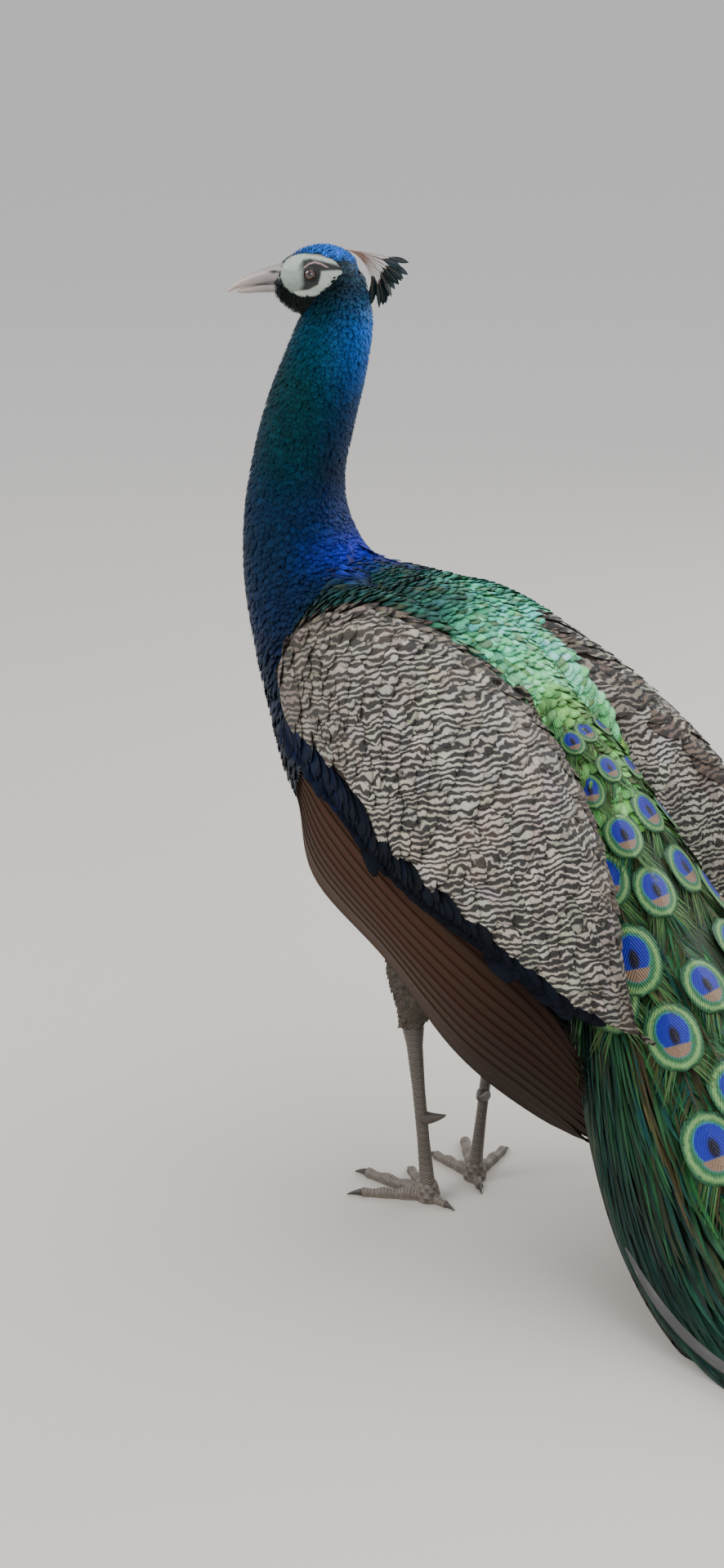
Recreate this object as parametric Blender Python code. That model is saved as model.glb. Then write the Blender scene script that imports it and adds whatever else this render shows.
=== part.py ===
"""A life-size standing Indian peacock: head turned to its left, wings half drooped, train folded behind.

The bird faces -X with its left side at -Y. All tables below are in the bird's own frame: metres, origin
on the floor between the feet. The empty "bird" moves that frame so that the whole bird's box is centred
on the world origin, with the soles and the underside of the train on z = 0.
"""
import math

import bmesh
import bpy
import numpy as np

# Driving sizes
BIRD_AT = (-0.591, 0.0, 0.0)
GAP = 0.0003
CUT_GROWTH = 0.0004

# Spine stations from the skull to the rump: x, z, half width, half depth to the back, half depth to the belly
SPINE = np.array([
    (-0.119, 0.838, 0.020, 0.020, 0.020),
    (-0.127, 0.806, 0.031, 0.035, 0.032),
    (-0.140, 0.762, 0.035, 0.041, 0.036),
    (-0.156, 0.712, 0.038, 0.043, 0.039),
    (-0.167, 0.662, 0.040, 0.043, 0.043),
    (-0.169, 0.614, 0.046, 0.052, 0.049),
    (-0.158, 0.562, 0.058, 0.074, 0.057),
    (-0.128, 0.512, 0.080, 0.106, 0.073),
    (-0.080, 0.465, 0.100, 0.136, 0.114),
    (-0.022, 0.418, 0.112, 0.142, 0.132),
    (0.042, 0.371, 0.110, 0.128, 0.120),
    (0.100, 0.331, 0.092, 0.094, 0.098),
    (0.150, 0.297, 0.064, 0.062, 0.068),
    (0.188, 0.271, 0.034, 0.034, 0.038),
    (0.208, 0.257, 0.012, 0.012, 0.014),
])
SPINE_SIDES = 20
SPINE_STEPS = 34
NECK_SPLIT, BREAST_SPLIT = 0.235, 0.46

# Skull, turned to the bird's left
HEAD_AT = (-0.136, -0.011, 0.838)
HEAD_TURN = math.radians(33)
# Along the head from the nape to the bill: forward, height of the axis, half width, depth above, depth below
SKULL = np.array([
    (-0.033, 0.000, 0.004, 0.006, 0.006),
    (-0.030, 0.000, 0.011, 0.014, 0.014),
    (-0.021, 0.000, 0.017, 0.021, 0.022),
    (-0.008, 0.000, 0.0195, 0.0252, 0.029),
    (0.006, -0.001, 0.0190, 0.0255, 0.031),
    (0.019, -0.003, 0.0165, 0.0225, 0.026),
    (0.029, -0.005, 0.0130, 0.0165, 0.0170),
    (0.036, -0.006, 0.0098, 0.0112, 0.0110),
    (0.039, -0.007, 0.0070, 0.0080, 0.0080),
])
EYE_AT = (0.0075, 0.0148, 0.0015)
EYE_RADIUS = 0.0068

# Each half of the bill, same columns
BILL_UPPER = np.array([
    (0.024, 0.0020, 0.0096, 0.0088, 0.0092),
    (0.030, 0.0015, 0.0086, 0.0084, 0.0088),
    (0.040, 0.0000, 0.0074, 0.0074, 0.0078),
    (0.052, -0.0025, 0.0058, 0.0058, 0.0066),
    (0.064, -0.0062, 0.0040, 0.0044, 0.0048),
    (0.073, -0.0105, 0.0024, 0.0030, 0.0030),
    (0.079, -0.0152, 0.0009, 0.0010, 0.0010),
])
BILL_LOWER = np.array([
    (0.022, -0.0108, 0.0084, 0.0030, 0.0054),
    (0.028, -0.0108, 0.0078, 0.0030, 0.0050),
    (0.040, -0.0112, 0.0066, 0.0030, 0.0042),
    (0.052, -0.0120, 0.0051, 0.0028, 0.0034),
    (0.064, -0.0136, 0.0031, 0.0022, 0.0022),
    (0.071, -0.0150, 0.0011, 0.0011, 0.0011),
])

# Crest: bare stems that end in small fans, in the middle plane of the head; the web and the fan are
# shares of a stem's length
CREST_ROOT, CREST_BASE = (-0.022, 0.0205), 0.004
CREST_STEMS = 9
CREST_START, CREST_FIRST, CREST_LAST = math.radians(-10), math.radians(-8), math.radians(-64)
CREST_LENGTH, CREST_WEB, CREST_FAN = 0.057, 0.40, 0.70
CREST_STEM_WIDTH, CREST_THICK = 0.0009, 0.0012

# Wing rows from the wrist to the tip: top edge x y z, bottom edge x y z, outward swell, thickness;
# the right wing is held a little raised and away from the rump
WING_LEFT = np.array([
    (-0.113, 0.113, 0.508, -0.113, 0.115, 0.496, 0.001, 0.004),
    (-0.092, 0.106, 0.556, -0.094, 0.129, 0.462, 0.014, 0.022),
    (-0.030, 0.080, 0.574, -0.042, 0.142, 0.421, 0.040, 0.036),
    (0.050, 0.054, 0.534, 0.030, 0.150, 0.362, 0.054, 0.040),
    (0.128, 0.047, 0.468, 0.105, 0.150, 0.324, 0.050, 0.032),
    (0.192, 0.074, 0.384, 0.182, 0.140, 0.281, 0.026, 0.014),
    (0.243, 0.119, 0.276, 0.246, 0.126, 0.260, 0.001, 0.002),
])
WING_RIGHT = np.array([
    (-0.113, 0.113, 0.508, -0.113, 0.115, 0.496, 0.001, 0.004),
    (-0.092, 0.110, 0.548, -0.094, 0.129, 0.462, 0.014, 0.022),
    (-0.030, 0.088, 0.556, -0.042, 0.142, 0.421, 0.040, 0.036),
    (0.050, 0.078, 0.524, 0.030, 0.150, 0.362, 0.054, 0.040),
    (0.132, 0.088, 0.478, 0.108, 0.154, 0.328, 0.048, 0.032),
    (0.204, 0.116, 0.414, 0.192, 0.158, 0.294, 0.024, 0.014),
    (0.258, 0.148, 0.304, 0.258, 0.152, 0.288, 0.001, 0.002),
])
# Primaries: the long flight feathers that show below the folded wing, same columns
PRIMARIES = np.array([
    (-0.088, 0.116, 0.432, -0.106, 0.103, 0.396, 0.001, 0.003),
    (-0.030, 0.130, 0.404, -0.085, 0.104, 0.324, 0.010, 0.007),
    (0.040, 0.135, 0.350, -0.012, 0.101, 0.260, 0.012, 0.007),
    (0.110, 0.130, 0.303, 0.058, 0.098, 0.189, 0.010, 0.006),
    (0.158, 0.118, 0.262, 0.128, 0.091, 0.145, 0.006, 0.004),
    (0.182, 0.106, 0.218, 0.204, 0.080, 0.112, 0.002, 0.0015),
])
EDGE_THICK = 0.0010
SWELL_LEAN = 0.72
TIP_DEPTH = 0.006

# Legs: for each foot, its place on the floor and the turn of its middle toe outward
LEGS = {
    "left": dict(side=-1, foot=(-0.006, 0.031), hock=(-0.013, 0.050), turn=math.radians(-8)),
    "right": dict(side=1, foot=(0.008, 0.030), hock=(0.018, 0.048), turn=math.radians(52)),
}
HOCK_HEIGHT, ANKLE_HEIGHT = 0.184, 0.020
HIP = (0.050, 0.060, 0.335)
# Toes: turn from the middle toe, length, radius at the root, claw length
TOES = {
    "middle": (0.0, 0.074, 0.0068, 0.017),
    "inner": (math.radians(-34), 0.056, 0.0062, 0.015),
    "outer": (math.radians(33), 0.062, 0.0060, 0.015),
    "back": (math.radians(176), 0.023, 0.0048, 0.012),
}
SPUR_HEIGHT, SPUR_LENGTH, SPUR_RADIUS, SPUR_TURN = 0.078, 0.024, 0.0052, math.radians(22)
SPUR_RISE = 0.006
# Shank from the hock to the ankle, and the pad above the sole: share of the way down or up, half widths
SHANK_SHARE = np.array([0.0, 0.06, 0.16, 0.40, 0.70, 0.90, 1.0])
SHANK_FORE = np.array([0.0098, 0.0104, 0.0078, 0.0062, 0.0060, 0.0070, 0.0076])
SHANK_SIDE = np.array([0.0086, 0.0090, 0.0064, 0.0050, 0.0048, 0.0058, 0.0070])
PAD_SHARE = np.array([0.0, 0.35, 0.75, 1.0])
PAD_RADIUS = np.array([0.0105, 0.0112, 0.0088, 0.0076])
TOE_TAPER, TOE_KNUCKLE, CLAW_TAPER = 0.36, 0.10, 0.86

# Train: x, height of its top line, height of its side edges, half width, thickness at the middle
TRAIN = np.array([
    (0.085, 0.514, 0.480, 0.040, 0.020),
    (0.145, 0.460, 0.330, 0.070, 0.045),
    (0.195, 0.392, 0.185, 0.100, 0.065),
    (0.250, 0.312, 0.098, 0.128, 0.085),
    (0.325, 0.226, 0.030, 0.160, 0.095),
    (0.420, 0.152, 0.008, 0.190, 0.098),
    (0.560, 0.090, 0.006, 0.216, 0.080),
    (0.760, 0.053, 0.005, 0.232, 0.056),
    (1.000, 0.033, 0.004, 0.236, 0.037),
    (1.240, 0.020, 0.003, 0.226, 0.024),
    (1.400, 0.009, 0.0025, 0.200, 0.012),
])
TRAIN_STEPS, TRAIN_ACROSS = 26, 16
TRAIN_SPLITS = (0.36, 0.64)
TRAIN_ROUNDING = 0.20
TRAIN_GAP = 0.0012

# Tail: the stiff brown feathers under the train, x, z, half width, droop of the edges
TAIL = np.array([
    (0.165, 0.280, 0.030, 0.006),
    (0.235, 0.205, 0.050, 0.014),
    (0.310, 0.128, 0.066, 0.018),
    (0.390, 0.060, 0.080, 0.016),
    (0.460, 0.024, 0.088, 0.008),
])
TAIL_THICK, TAIL_ACROSS = 0.008, 11
TAIL_ROUNDING, TAIL_TIPS = 0.03, 0.008

# Vent: the downy underside behind the legs, x, z, half width, depth
VENT = np.array([
    (0.060, 0.262, 0.050, 0.030),
    (0.110, 0.238, 0.052, 0.040),
    (0.165, 0.208, 0.044, 0.036),
    (0.215, 0.176, 0.028, 0.022),
    (0.245, 0.156, 0.010, 0.007),
])


def clear_scene():
    for obj in list(bpy.data.objects):
        bpy.data.objects.remove(obj, do_unlink=True)


def new_collection(name):
    made = bpy.data.collections.new(name)
    bpy.context.scene.collection.children.link(made)
    return made


def finish(name, colour, roughness, metallic=0.0):
    """One Principled material of a plain colour."""
    made = bpy.data.materials.new(name)
    made.use_nodes = True
    shader = made.node_tree.nodes["Principled BSDF"]
    shader.inputs["Base Color"].default_value = (*colour, 1.0)
    shader.inputs["Roughness"].default_value = roughness
    shader.inputs["Metallic"].default_value = metallic
    return made


def smooth_rows(rows, count):
    """A Catmull-Rom curve through the rows of a table, read at `count` even steps of its parameter."""
    ends = np.vstack([2 * rows[0] - rows[1], rows, 2 * rows[-1] - rows[-2]])
    t = np.linspace(0, len(rows) - 1, count)
    i = np.minimum(t.astype(int), len(rows) - 2)
    f = (t - i)[:, None]
    a, b, c, d = ends[i], ends[i + 1], ends[i + 2], ends[i + 3]
    return 0.5 * (2 * b + (c - a) * f + (2 * a - 5 * b + 4 * c - d) * f**2 + (3 * b - a - 3 * c + d) * f**3)


def mesh_object(name, points, faces, material):
    """A closed mesh object under the empty, its faces turned outward."""
    mesh = bpy.data.meshes.new(name)
    mesh.from_pydata(np.asarray(points).reshape(-1, 3).tolist(), [], faces)
    body = bmesh.new()
    body.from_mesh(mesh)
    bmesh.ops.remove_doubles(body, verts=body.verts, dist=1e-6)
    bmesh.ops.recalc_face_normals(body, faces=body.faces)
    body.to_mesh(mesh)
    body.free()
    mesh.materials.append(material)
    mesh.shade_smooth()
    made = bpy.data.objects.new(name, mesh)
    parts.objects.link(made)
    made.parent = bird
    return made


def loft(name, rings, material):
    """A closed body through rings of points, each end closed by a fan to the ring's centre."""
    count, sides = rings.shape[:2]
    points = np.concatenate([rings.reshape(-1, 3), [rings[0].mean(0), rings[-1].mean(0)]])
    faces = []
    for k in range(sides):
        after = (k + 1) % sides
        faces += [(i * sides + k, i * sides + after, (i + 1) * sides + after, (i + 1) * sides + k)
                  for i in range(count - 1)]
        faces.append((after, k, count * sides))
        faces.append(((count - 1) * sides + k, (count - 1) * sides + after, count * sides + 1))
    return mesh_object(name, points, faces, material)


def slab(name, outer, inner, material):
    """A closed body between two point grids of one size, sewn together round their border."""
    rows, columns = outer.shape[:2]
    offset = rows * columns
    faces = []
    for i in range(rows - 1):
        for k in range(columns - 1):
            a, b = i * columns + k, (i + 1) * columns + k
            faces.append((a, a + 1, b + 1, b))
            faces.append((a + offset, b + offset, b + 1 + offset, a + 1 + offset))
    border = list(range(columns))
    border += [i * columns + columns - 1 for i in range(1, rows)]
    border += [(rows - 1) * columns + k for k in range(columns - 2, -1, -1)]
    border += [i * columns for i in range(rows - 2, 0, -1)]
    for here, after in zip(border, border[1:] + border[:1]):
        faces.append((here, here + offset, after + offset, after))
    return mesh_object(name, np.concatenate([outer.reshape(-1, 3), inner.reshape(-1, 3)]), faces, material)


def ellipse_rings(centre, side, up, half_side, half_up, half_down, sides):
    """Rings in the planes of side and up, each half of its own depth."""
    angle = np.linspace(0, 2 * np.pi, sides, endpoint=False)
    across, along = np.sin(angle), np.cos(angle)
    depth = np.where(along[None] > 0, np.asarray(half_up)[:, None], np.asarray(half_down)[:, None])
    return (centre[:, None] + side[:, None] * (np.asarray(half_side)[:, None] * across)[..., None]
            + up[:, None] * (depth * along)[..., None])


def path_frames(path):
    """Tangent, side and up along a path, the side kept level."""
    tangent = np.gradient(path, axis=0)
    tangent /= np.linalg.norm(tangent, axis=1)[:, None]
    side = np.cross(tangent, (0, 0, 1))
    side /= np.linalg.norm(side, axis=1)[:, None]
    return tangent, side, np.cross(side, tangent)


def tube(name, path, radii, material, sides=10, floor=None):
    """A tapered round body along a path; below `floor` it is flattened onto it."""
    _, side, up = path_frames(path)
    rings = ellipse_rings(path, side, up, radii, radii, radii, sides)
    if floor is not None:
        rings[..., 2] = np.maximum(rings[..., 2], floor)
    return loft(name, rings, material)


def grown_copy(neighbour):
    """A cutter a hair larger than the neighbour, so that what it carves keeps a gap to it."""
    mesh = neighbour.data.copy()
    points = np.empty(len(mesh.vertices) * 3)
    normals = np.empty(len(mesh.vertices) * 3)
    mesh.vertices.foreach_get("co", points)
    mesh.vertex_normals.foreach_get("vector", normals)
    mesh.vertices.foreach_set("co", points + normals * CUT_GROWTH)
    cutter = bpy.data.objects.new("cutter_" + neighbour.name, mesh)
    cutters.objects.link(cutter)
    cutter.parent = bird
    cutter.hide_render = True
    cutter.display_type = "WIRE"
    return cutter


def combine(target, other, operation):
    """A Boolean modifier between two solids."""
    boolean = target.modifiers.new(operation.lower(), "BOOLEAN")
    boolean.operation = operation
    boolean.solver = "EXACT"
    boolean.object = other


def carve(target, *neighbours):
    """Cuts the target back to a hair's gap from each neighbour."""
    for neighbour in neighbours:
        combine(target, grown_copy(neighbour), "DIFFERENCE")


def join(target, *others):
    """Unites other solids with the target; they become hidden tools."""
    for other in others:
        parts.objects.unlink(other)
        cutters.objects.link(other)
        other.hide_render = True
        other.display_type = "WIRE"
        combine(target, other, "UNION")


def make_spine():
    """Neck and trunk: one loft down the spine, parted square to it with a hair's gap."""
    rows = smooth_rows(SPINE, SPINE_STEPS)
    path = np.stack([rows[:, 0], 0 * rows[:, 0], rows[:, 1]], 1)
    tangent = np.gradient(path, axis=0)
    tangent /= np.linalg.norm(tangent, axis=1)[:, None]
    side = np.tile([0.0, -1.0, 0.0], (len(path), 1))
    back = np.stack([-tangent[:, 2], 0 * tangent[:, 0], tangent[:, 0]], 1)
    rings = ellipse_rings(path, side, back, rows[:, 2], rows[:, 3], rows[:, 4], SPINE_SIDES)
    first = round(NECK_SPLIT * SPINE_STEPS)
    second = round(BREAST_SPLIT * SPINE_STEPS)
    spans = {"neck_upper": (0, first), "neck_lower": (first, second), "trunk": (second, SPINE_STEPS - 1)}
    made = {}
    for name, (start, end) in spans.items():
        piece = rings[start:end + 1].copy()
        if start:
            piece[0] += GAP * tangent[start]
        made[name] = loft(name, piece, plumage_blue)
    return made


def head_frame(forward, side, up):
    """World points from places in the turned head: forward, to the bird's left, and up."""
    ahead = np.array([-math.cos(HEAD_TURN), -math.sin(HEAD_TURN), 0.0])
    left = np.array([math.sin(HEAD_TURN), -math.cos(HEAD_TURN), 0.0])
    return (np.array(HEAD_AT) + np.multiply.outer(forward, ahead) + np.multiply.outer(side, left)
            + np.multiply.outer(up, np.array([0.0, 0.0, 1.0])))


def head_loft(name, table, count, sides, material):
    """A loft along the head's own axis, of its own depth above and below it."""
    rows = smooth_rows(table, count)
    centre = head_frame(rows[:, 0], 0 * rows[:, 0], rows[:, 1])
    left = np.tile(head_frame(0, 1, 0) - head_frame(0, 0, 0), (count, 1))
    up = np.tile([0.0, 0.0, 1.0], (count, 1))
    return loft(name, ellipse_rings(centre, left, up, rows[:, 2], rows[:, 3], rows[:, 4], sides), material)


def make_head():
    """Skull with its two eyes in sockets, and the bill in two halves."""
    head = head_loft("head", SKULL, 13, 16, plumage_blue)
    eyes = []
    for name, side in (("eye_left", 1), ("eye_right", -1)):
        bpy.ops.mesh.primitive_uv_sphere_add(segments=12, ring_count=8, radius=EYE_RADIUS)
        eye = bpy.context.object
        eye.name = name
        for holder in list(eye.users_collection):
            holder.objects.unlink(eye)
        parts.objects.link(eye)
        eye.data.materials.append(eye_black)
        eye.data.shade_smooth()
        eye.parent = bird
        eye.location = head_frame(EYE_AT[0], side * EYE_AT[1], EYE_AT[2])
        eyes.append(eye)
    upper = head_loft("bill_upper", BILL_UPPER, 9, 10, horn)
    lower = head_loft("bill_lower", BILL_LOWER, 8, 10, horn)
    carve(upper, head)
    carve(lower, head, upper)
    for eye in eyes:
        socket = grown_copy(eye)
        socket.location = eye.location
        combine(head, socket, "DIFFERENCE")
    return head


def crest_point(turn, reach, offset):
    """A place beside one drooping stem: it leaves the crown level and bends towards its own turn."""
    bend = CREST_START + (turn - CREST_START) * reach**0.8
    here = reach * CREST_LENGTH * np.array([-math.cos(bend), math.sin(bend)])
    lean = bend + 0.8 * (turn - CREST_START) * reach**0.8
    return np.array(CREST_ROOT) + here + offset * np.array([math.sin(lean), math.cos(lean)])


def make_crest(head):
    """The crest: a flat comb of stems, each running out into a fan, cut from one outline."""
    turns = np.linspace(CREST_FIRST, CREST_LAST, CREST_STEMS)
    fan_half = 0.42 * abs(turns[1] - turns[0]) * CREST_LENGTH
    stem_half = CREST_STEM_WIDTH / 2
    shape = ((CREST_WEB, stem_half), (0.55, stem_half), (CREST_FAN, stem_half), (0.84, 0.55 * fan_half),
             (0.93, fan_half), (1.0, 0.45 * fan_half))
    outline = []
    for stem, turn in enumerate(turns):
        length = 1 - 0.09 * (stem % 2)
        outline += [crest_point(turn, reach * length, half) for reach, half in shape]
        outline += [crest_point(turn, reach * length, -half) for reach, half in reversed(shape)]
    outline += [np.array(CREST_ROOT) + CREST_BASE * np.array([math.cos(a), math.sin(a)])
                for a in np.linspace(-1.2, 2.0, 6)]
    outline = np.array(outline)
    count = len(outline)
    points = np.concatenate([head_frame(outline[:, 0], np.full(count, side), outline[:, 1])
                             for side in (CREST_THICK / 2, -CREST_THICK / 2)])
    faces = [tuple(range(count)), tuple(range(2 * count - 1, count - 1, -1))]
    faces += [(k, (k + 1) % count, count + (k + 1) % count, count + k) for k in range(count)]
    crest = mesh_object("crest", points, faces, plumage_dark)
    carve(crest, head)


def feather_slab(name, table, side, steps, across, tips, material):
    """A swollen sheet of laid feathers between a top and a bottom edge, its free edges cut into tips."""
    rows = smooth_rows(table, steps)
    top, bottom, swell, thick = rows[:, 0:3], rows[:, 3:6], rows[:, 6], rows[:, 7]
    along = np.gradient((top + bottom) / 2, axis=0)
    along /= np.linalg.norm(along, axis=1)[:, None]
    v = np.linspace(0, 1, across)
    line = top[:, None] * (1 - v)[None, :, None] + bottom[:, None] * v[None, :, None]
    outward = np.cross(bottom - top, along)
    outward /= np.maximum(np.linalg.norm(outward, axis=1), 1e-9)[:, None]
    outward *= np.sign(outward[:, 1:2])
    arch = np.sin(np.pi * v**SWELL_LEAN) ** 0.8
    outer = line + outward[:, None] * (swell[:, None] * arch)[..., None]
    rim = np.sin(np.pi * np.clip(v, 0.0, 1.0)) ** 0.5
    depth = EDGE_THICK + np.maximum(thick - EDGE_THICK, 0)[:, None] * rim[None]
    u = np.linspace(0, 1, steps)
    notch = TIP_DEPTH * (1 - np.abs(np.cos(np.pi * tips * u))) * (u > 0.12)
    outer[:, -1] += (top - bottom) / np.linalg.norm(top - bottom, axis=1)[:, None] * notch[:, None]
    inner = outer - outward[:, None] * depth[..., None]
    flip = np.array([1, side, 1])
    return slab(name, outer * flip, inner * flip, material)


def make_leg(name, side, foot, hock, turn, trunk):
    """Thigh, scaled shank with its spur, foot and four claws; returns the thigh."""
    ground = np.array([foot[0], side * foot[1], 0.0])
    knee = np.array([hock[0], side * hock[1], HOCK_HEIGHT])
    hip = np.array([HIP[0], side * HIP[1], HIP[2]])
    table = np.array([
        (*hip, 0.050, 0.044),
        (*(hip * 0.62 + knee * 0.38 + [-0.004, side * 0.004, 0]), 0.049, 0.038),
        (*(hip * 0.32 + knee * 0.68 + [-0.004, side * 0.003, 0]), 0.034, 0.027),
        (*(hip * 0.10 + knee * 0.90), 0.019, 0.017),
        (*knee, 0.0125, 0.0115),
    ])
    rows = smooth_rows(table, 9)
    level = np.tile([0.0, 0.0, 1.0], (len(rows), 1))
    fore = np.tile([1.0, 0.0, 0.0], (len(rows), 1))
    sideways = np.tile([0.0, 1.0, 0.0], (len(rows), 1))
    thigh = loft("thigh_" + name, ellipse_rings(rows[:, :3], sideways, fore, rows[:, 4], rows[:, 3],
                                                rows[:, 3], 14), plumage_grey)
    carve(thigh, trunk)

    ankle = ground + [0, 0, ANKLE_HEIGHT]
    below = knee - [0, 0, GAP * 1.3]
    share = SHANK_SHARE[:, None]
    centre = below * (1 - share) + ankle * share
    shank = loft("shank_" + name, ellipse_rings(centre, sideways[:7], fore[:7], SHANK_SIDE, SHANK_FORE,
                                                SHANK_FORE, 12), horn_grey)
    spot = (SPUR_HEIGHT - ANKLE_HEIGHT) / (HOCK_HEIGHT - ANKLE_HEIGHT)
    root = ankle * (1 - spot) + below * spot
    inward = np.array([math.cos(turn + SPUR_TURN), -side * math.sin(turn + SPUR_TURN), 0.0])
    reach = np.linspace(0, 1, 6)[:, None]
    spur_path = root + inward * (reach * SPUR_LENGTH) + level[:6] * (SPUR_RISE * reach**2)
    spur = tube("spur_" + name, spur_path, SPUR_RADIUS * (1.02 - reach[:, 0]) ** 0.7, horn_grey, sides=8)
    join(shank, spur)

    pad_centre = ground + np.outer(PAD_SHARE, [0, 0, ANKLE_HEIGHT - GAP * 1.3])
    foot_pad = loft("foot_" + name, ellipse_rings(pad_centre, sideways[:4], fore[:4], PAD_RADIUS, PAD_RADIUS,
                                                  PAD_RADIUS, 12), horn_grey)
    toes = []
    for toe, (spread, length, radius, claw_length) in TOES.items():
        heading = turn + spread
        ahead = np.array([-math.cos(heading), side * math.sin(heading), 0.0])
        steps = np.linspace(0, 1, 8)
        knuckle = 1 + TOE_KNUCKLE * np.cos(steps * np.pi * 2 * (2 if toe == "back" else 3))
        radii = radius * (1 - TOE_TAPER * steps) * knuckle
        lift = np.maximum(radii * 0.86, (1 - steps * 2.2) * radius * 1.25)
        path = ground + steps[:, None] * ahead * length + lift[:, None] * [0, 0, 1]
        toes.append(tube(f"toe_{name}_{toe}", path, radii, horn_grey, sides=8, floor=0.0))
        end = ground + ahead * (length + GAP) + [0, 0, radii[-1] * 0.86]
        curl = np.linspace(0, 1, 4)
        claw_radii = radii[-1] * 0.80 * (1 - CLAW_TAPER * curl)
        drop = end[2] - claw_radii[-1] * 0.9
        claw_path = end + np.outer(curl * claw_length, ahead) - np.outer(drop * curl**1.7, [0, 0, 1])
        claw = tube(f"claw_{name}_{toe}", claw_path, claw_radii, claw_black, sides=6, floor=0.0)
        carve(claw, toes[-1])
    join(foot_pad, *toes)
    return thigh


def train_grids():
    """The train's outer and inner faces: an arch over the rump that sinks to lie along the floor."""
    rows = smooth_rows(TRAIN, TRAIN_STEPS)
    x, top, edge, width, thick = rows.T
    a = np.linspace(-1, 1, TRAIN_ACROSS + 1)
    angle = a * np.pi / 2
    rise = np.cos(angle) ** 0.85
    reach = (x - x[0]) / (x[-1] - x[0])
    rounding = 1 - TRAIN_ROUNDING * a**2 * reach[:, None] ** 3
    along = x[0] + (x - x[0])[:, None] * rounding
    outer = np.stack([along, width[:, None] * np.sin(angle), edge[:, None] + (top - edge)[:, None] * rise], -1)
    rim = 0.22 + 0.78 * np.cos(angle)
    inner = outer.copy()
    inner[..., 1] *= 0.985
    inner[..., 2] = np.maximum(outer[..., 2] - thick[:, None] * rim, 0.0)
    lowest = np.minimum(outer[..., 2] - 0.002, inner[..., 2])
    inner[..., 2] = np.maximum(lowest, 0.0)
    tips = 0.016 * (np.arange(TRAIN_ACROSS + 1) % 2)
    outer[-1, :, 0] -= tips
    inner[-1, :, 0] -= tips
    return outer, inner


def make_train(trunk, wings):
    outer, inner = train_grids()
    cuts = [0] + [round(part * TRAIN_STEPS) for part in TRAIN_SPLITS] + [TRAIN_STEPS - 1]
    made = []
    for name, start, end in zip(("train_root", "train_mid", "train_end"), cuts, cuts[1:]):
        upper, lower = outer[start:end + 1].copy(), inner[start:end + 1].copy()
        if start:
            upper[0, :, 0] += TRAIN_GAP
            lower[0, :, 0] += TRAIN_GAP
        made.append(slab(name, upper, lower, plumage_green))
    carve(made[0], trunk, *wings)
    return made


def make_tail(neighbours):
    """The stiff tail: a shallow arched fan below the train, its end cut into square tips."""
    rows = smooth_rows(TAIL, 9)
    a = np.linspace(-1, 1, TAIL_ACROSS)
    outer = np.stack([rows[:, 0:1] - TAIL_ROUNDING * a**2 * np.linspace(0, 1, 9)[:, None], rows[:, 2:3] * a,
                      rows[:, 1:2] - rows[:, 3:4] * a**2], -1)
    outer[-1, :, 0] -= TAIL_TIPS * (np.arange(TAIL_ACROSS) % 2)
    inner = outer - np.array([0.0, 0.0, 1.0]) * (TAIL_THICK * (1.08 - a**2)[None, :, None])
    inner[..., 2] = np.maximum(inner[..., 2], 0.0)
    tail = slab("tail", outer, inner, plumage_brown)
    carve(tail, *neighbours)
    return tail


def make_vent(neighbours):
    """The downy underside behind the legs, below the root of the tail."""
    rows = smooth_rows(VENT, 9)
    path = np.stack([rows[:, 0], 0 * rows[:, 0], rows[:, 1]], 1)
    _, side, up = path_frames(path)
    vent = loft("vent", ellipse_rings(path, side, up, rows[:, 2], rows[:, 3], rows[:, 3], 16), plumage_grey)
    carve(vent, *neighbours)
    return vent


clear_scene()
parts = new_collection("peacock")
cutters = new_collection("peacock_cutters")
bird = bpy.data.objects.new("bird", None)
bird.location = BIRD_AT
parts.objects.link(bird)

plumage_blue = finish("blue plumage", (0.01, 0.07, 0.35), 0.45)
plumage_green = finish("green plumage", (0.03, 0.22, 0.08), 0.45)
plumage_barred = finish("barred plumage", (0.42, 0.37, 0.30), 0.7)
plumage_chestnut = finish("chestnut plumage", (0.20, 0.07, 0.03), 0.7)
plumage_brown = finish("brown plumage", (0.12, 0.09, 0.07), 0.7)
plumage_grey = finish("grey down", (0.20, 0.18, 0.15), 0.85)
plumage_dark = finish("dark plumage", (0.02, 0.05, 0.06), 0.6)
horn = finish("pale horn", (0.45, 0.34, 0.29), 0.45)
horn_grey = finish("grey scaled skin", (0.20, 0.17, 0.14), 0.6)
claw_black = finish("dark claw", (0.05, 0.045, 0.04), 0.4)
eye_black = finish("dark eye", (0.02, 0.012, 0.008), 0.1)

spine = make_spine()
skull = make_head()
carve(spine["neck_upper"], skull)
make_crest(skull)
thighs = [make_leg(name, trunk=spine["trunk"], **leg) for name, leg in LEGS.items()]
wings, primaries = [], []
for wing_name, wing_side, wing_table in (("left", -1, WING_LEFT), ("right", 1, WING_RIGHT)):
    wing = feather_slab("wing_" + wing_name, wing_table, wing_side, 19, 8, 9, plumage_barred)
    flight = feather_slab("primaries_" + wing_name, PRIMARIES, wing_side, 13, 6, 4, plumage_chestnut)
    carve(wing, spine["neck_lower"], spine["trunk"])
    carve(flight, wing, spine["trunk"], *thighs)
    wings.append(wing)
    primaries.append(flight)
vent = make_vent([spine["trunk"], *thighs, *primaries])
train = make_train(spine["trunk"], wings)
make_tail([spine["trunk"], vent, *train, *wings, *primaries])
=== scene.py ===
import math

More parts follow.
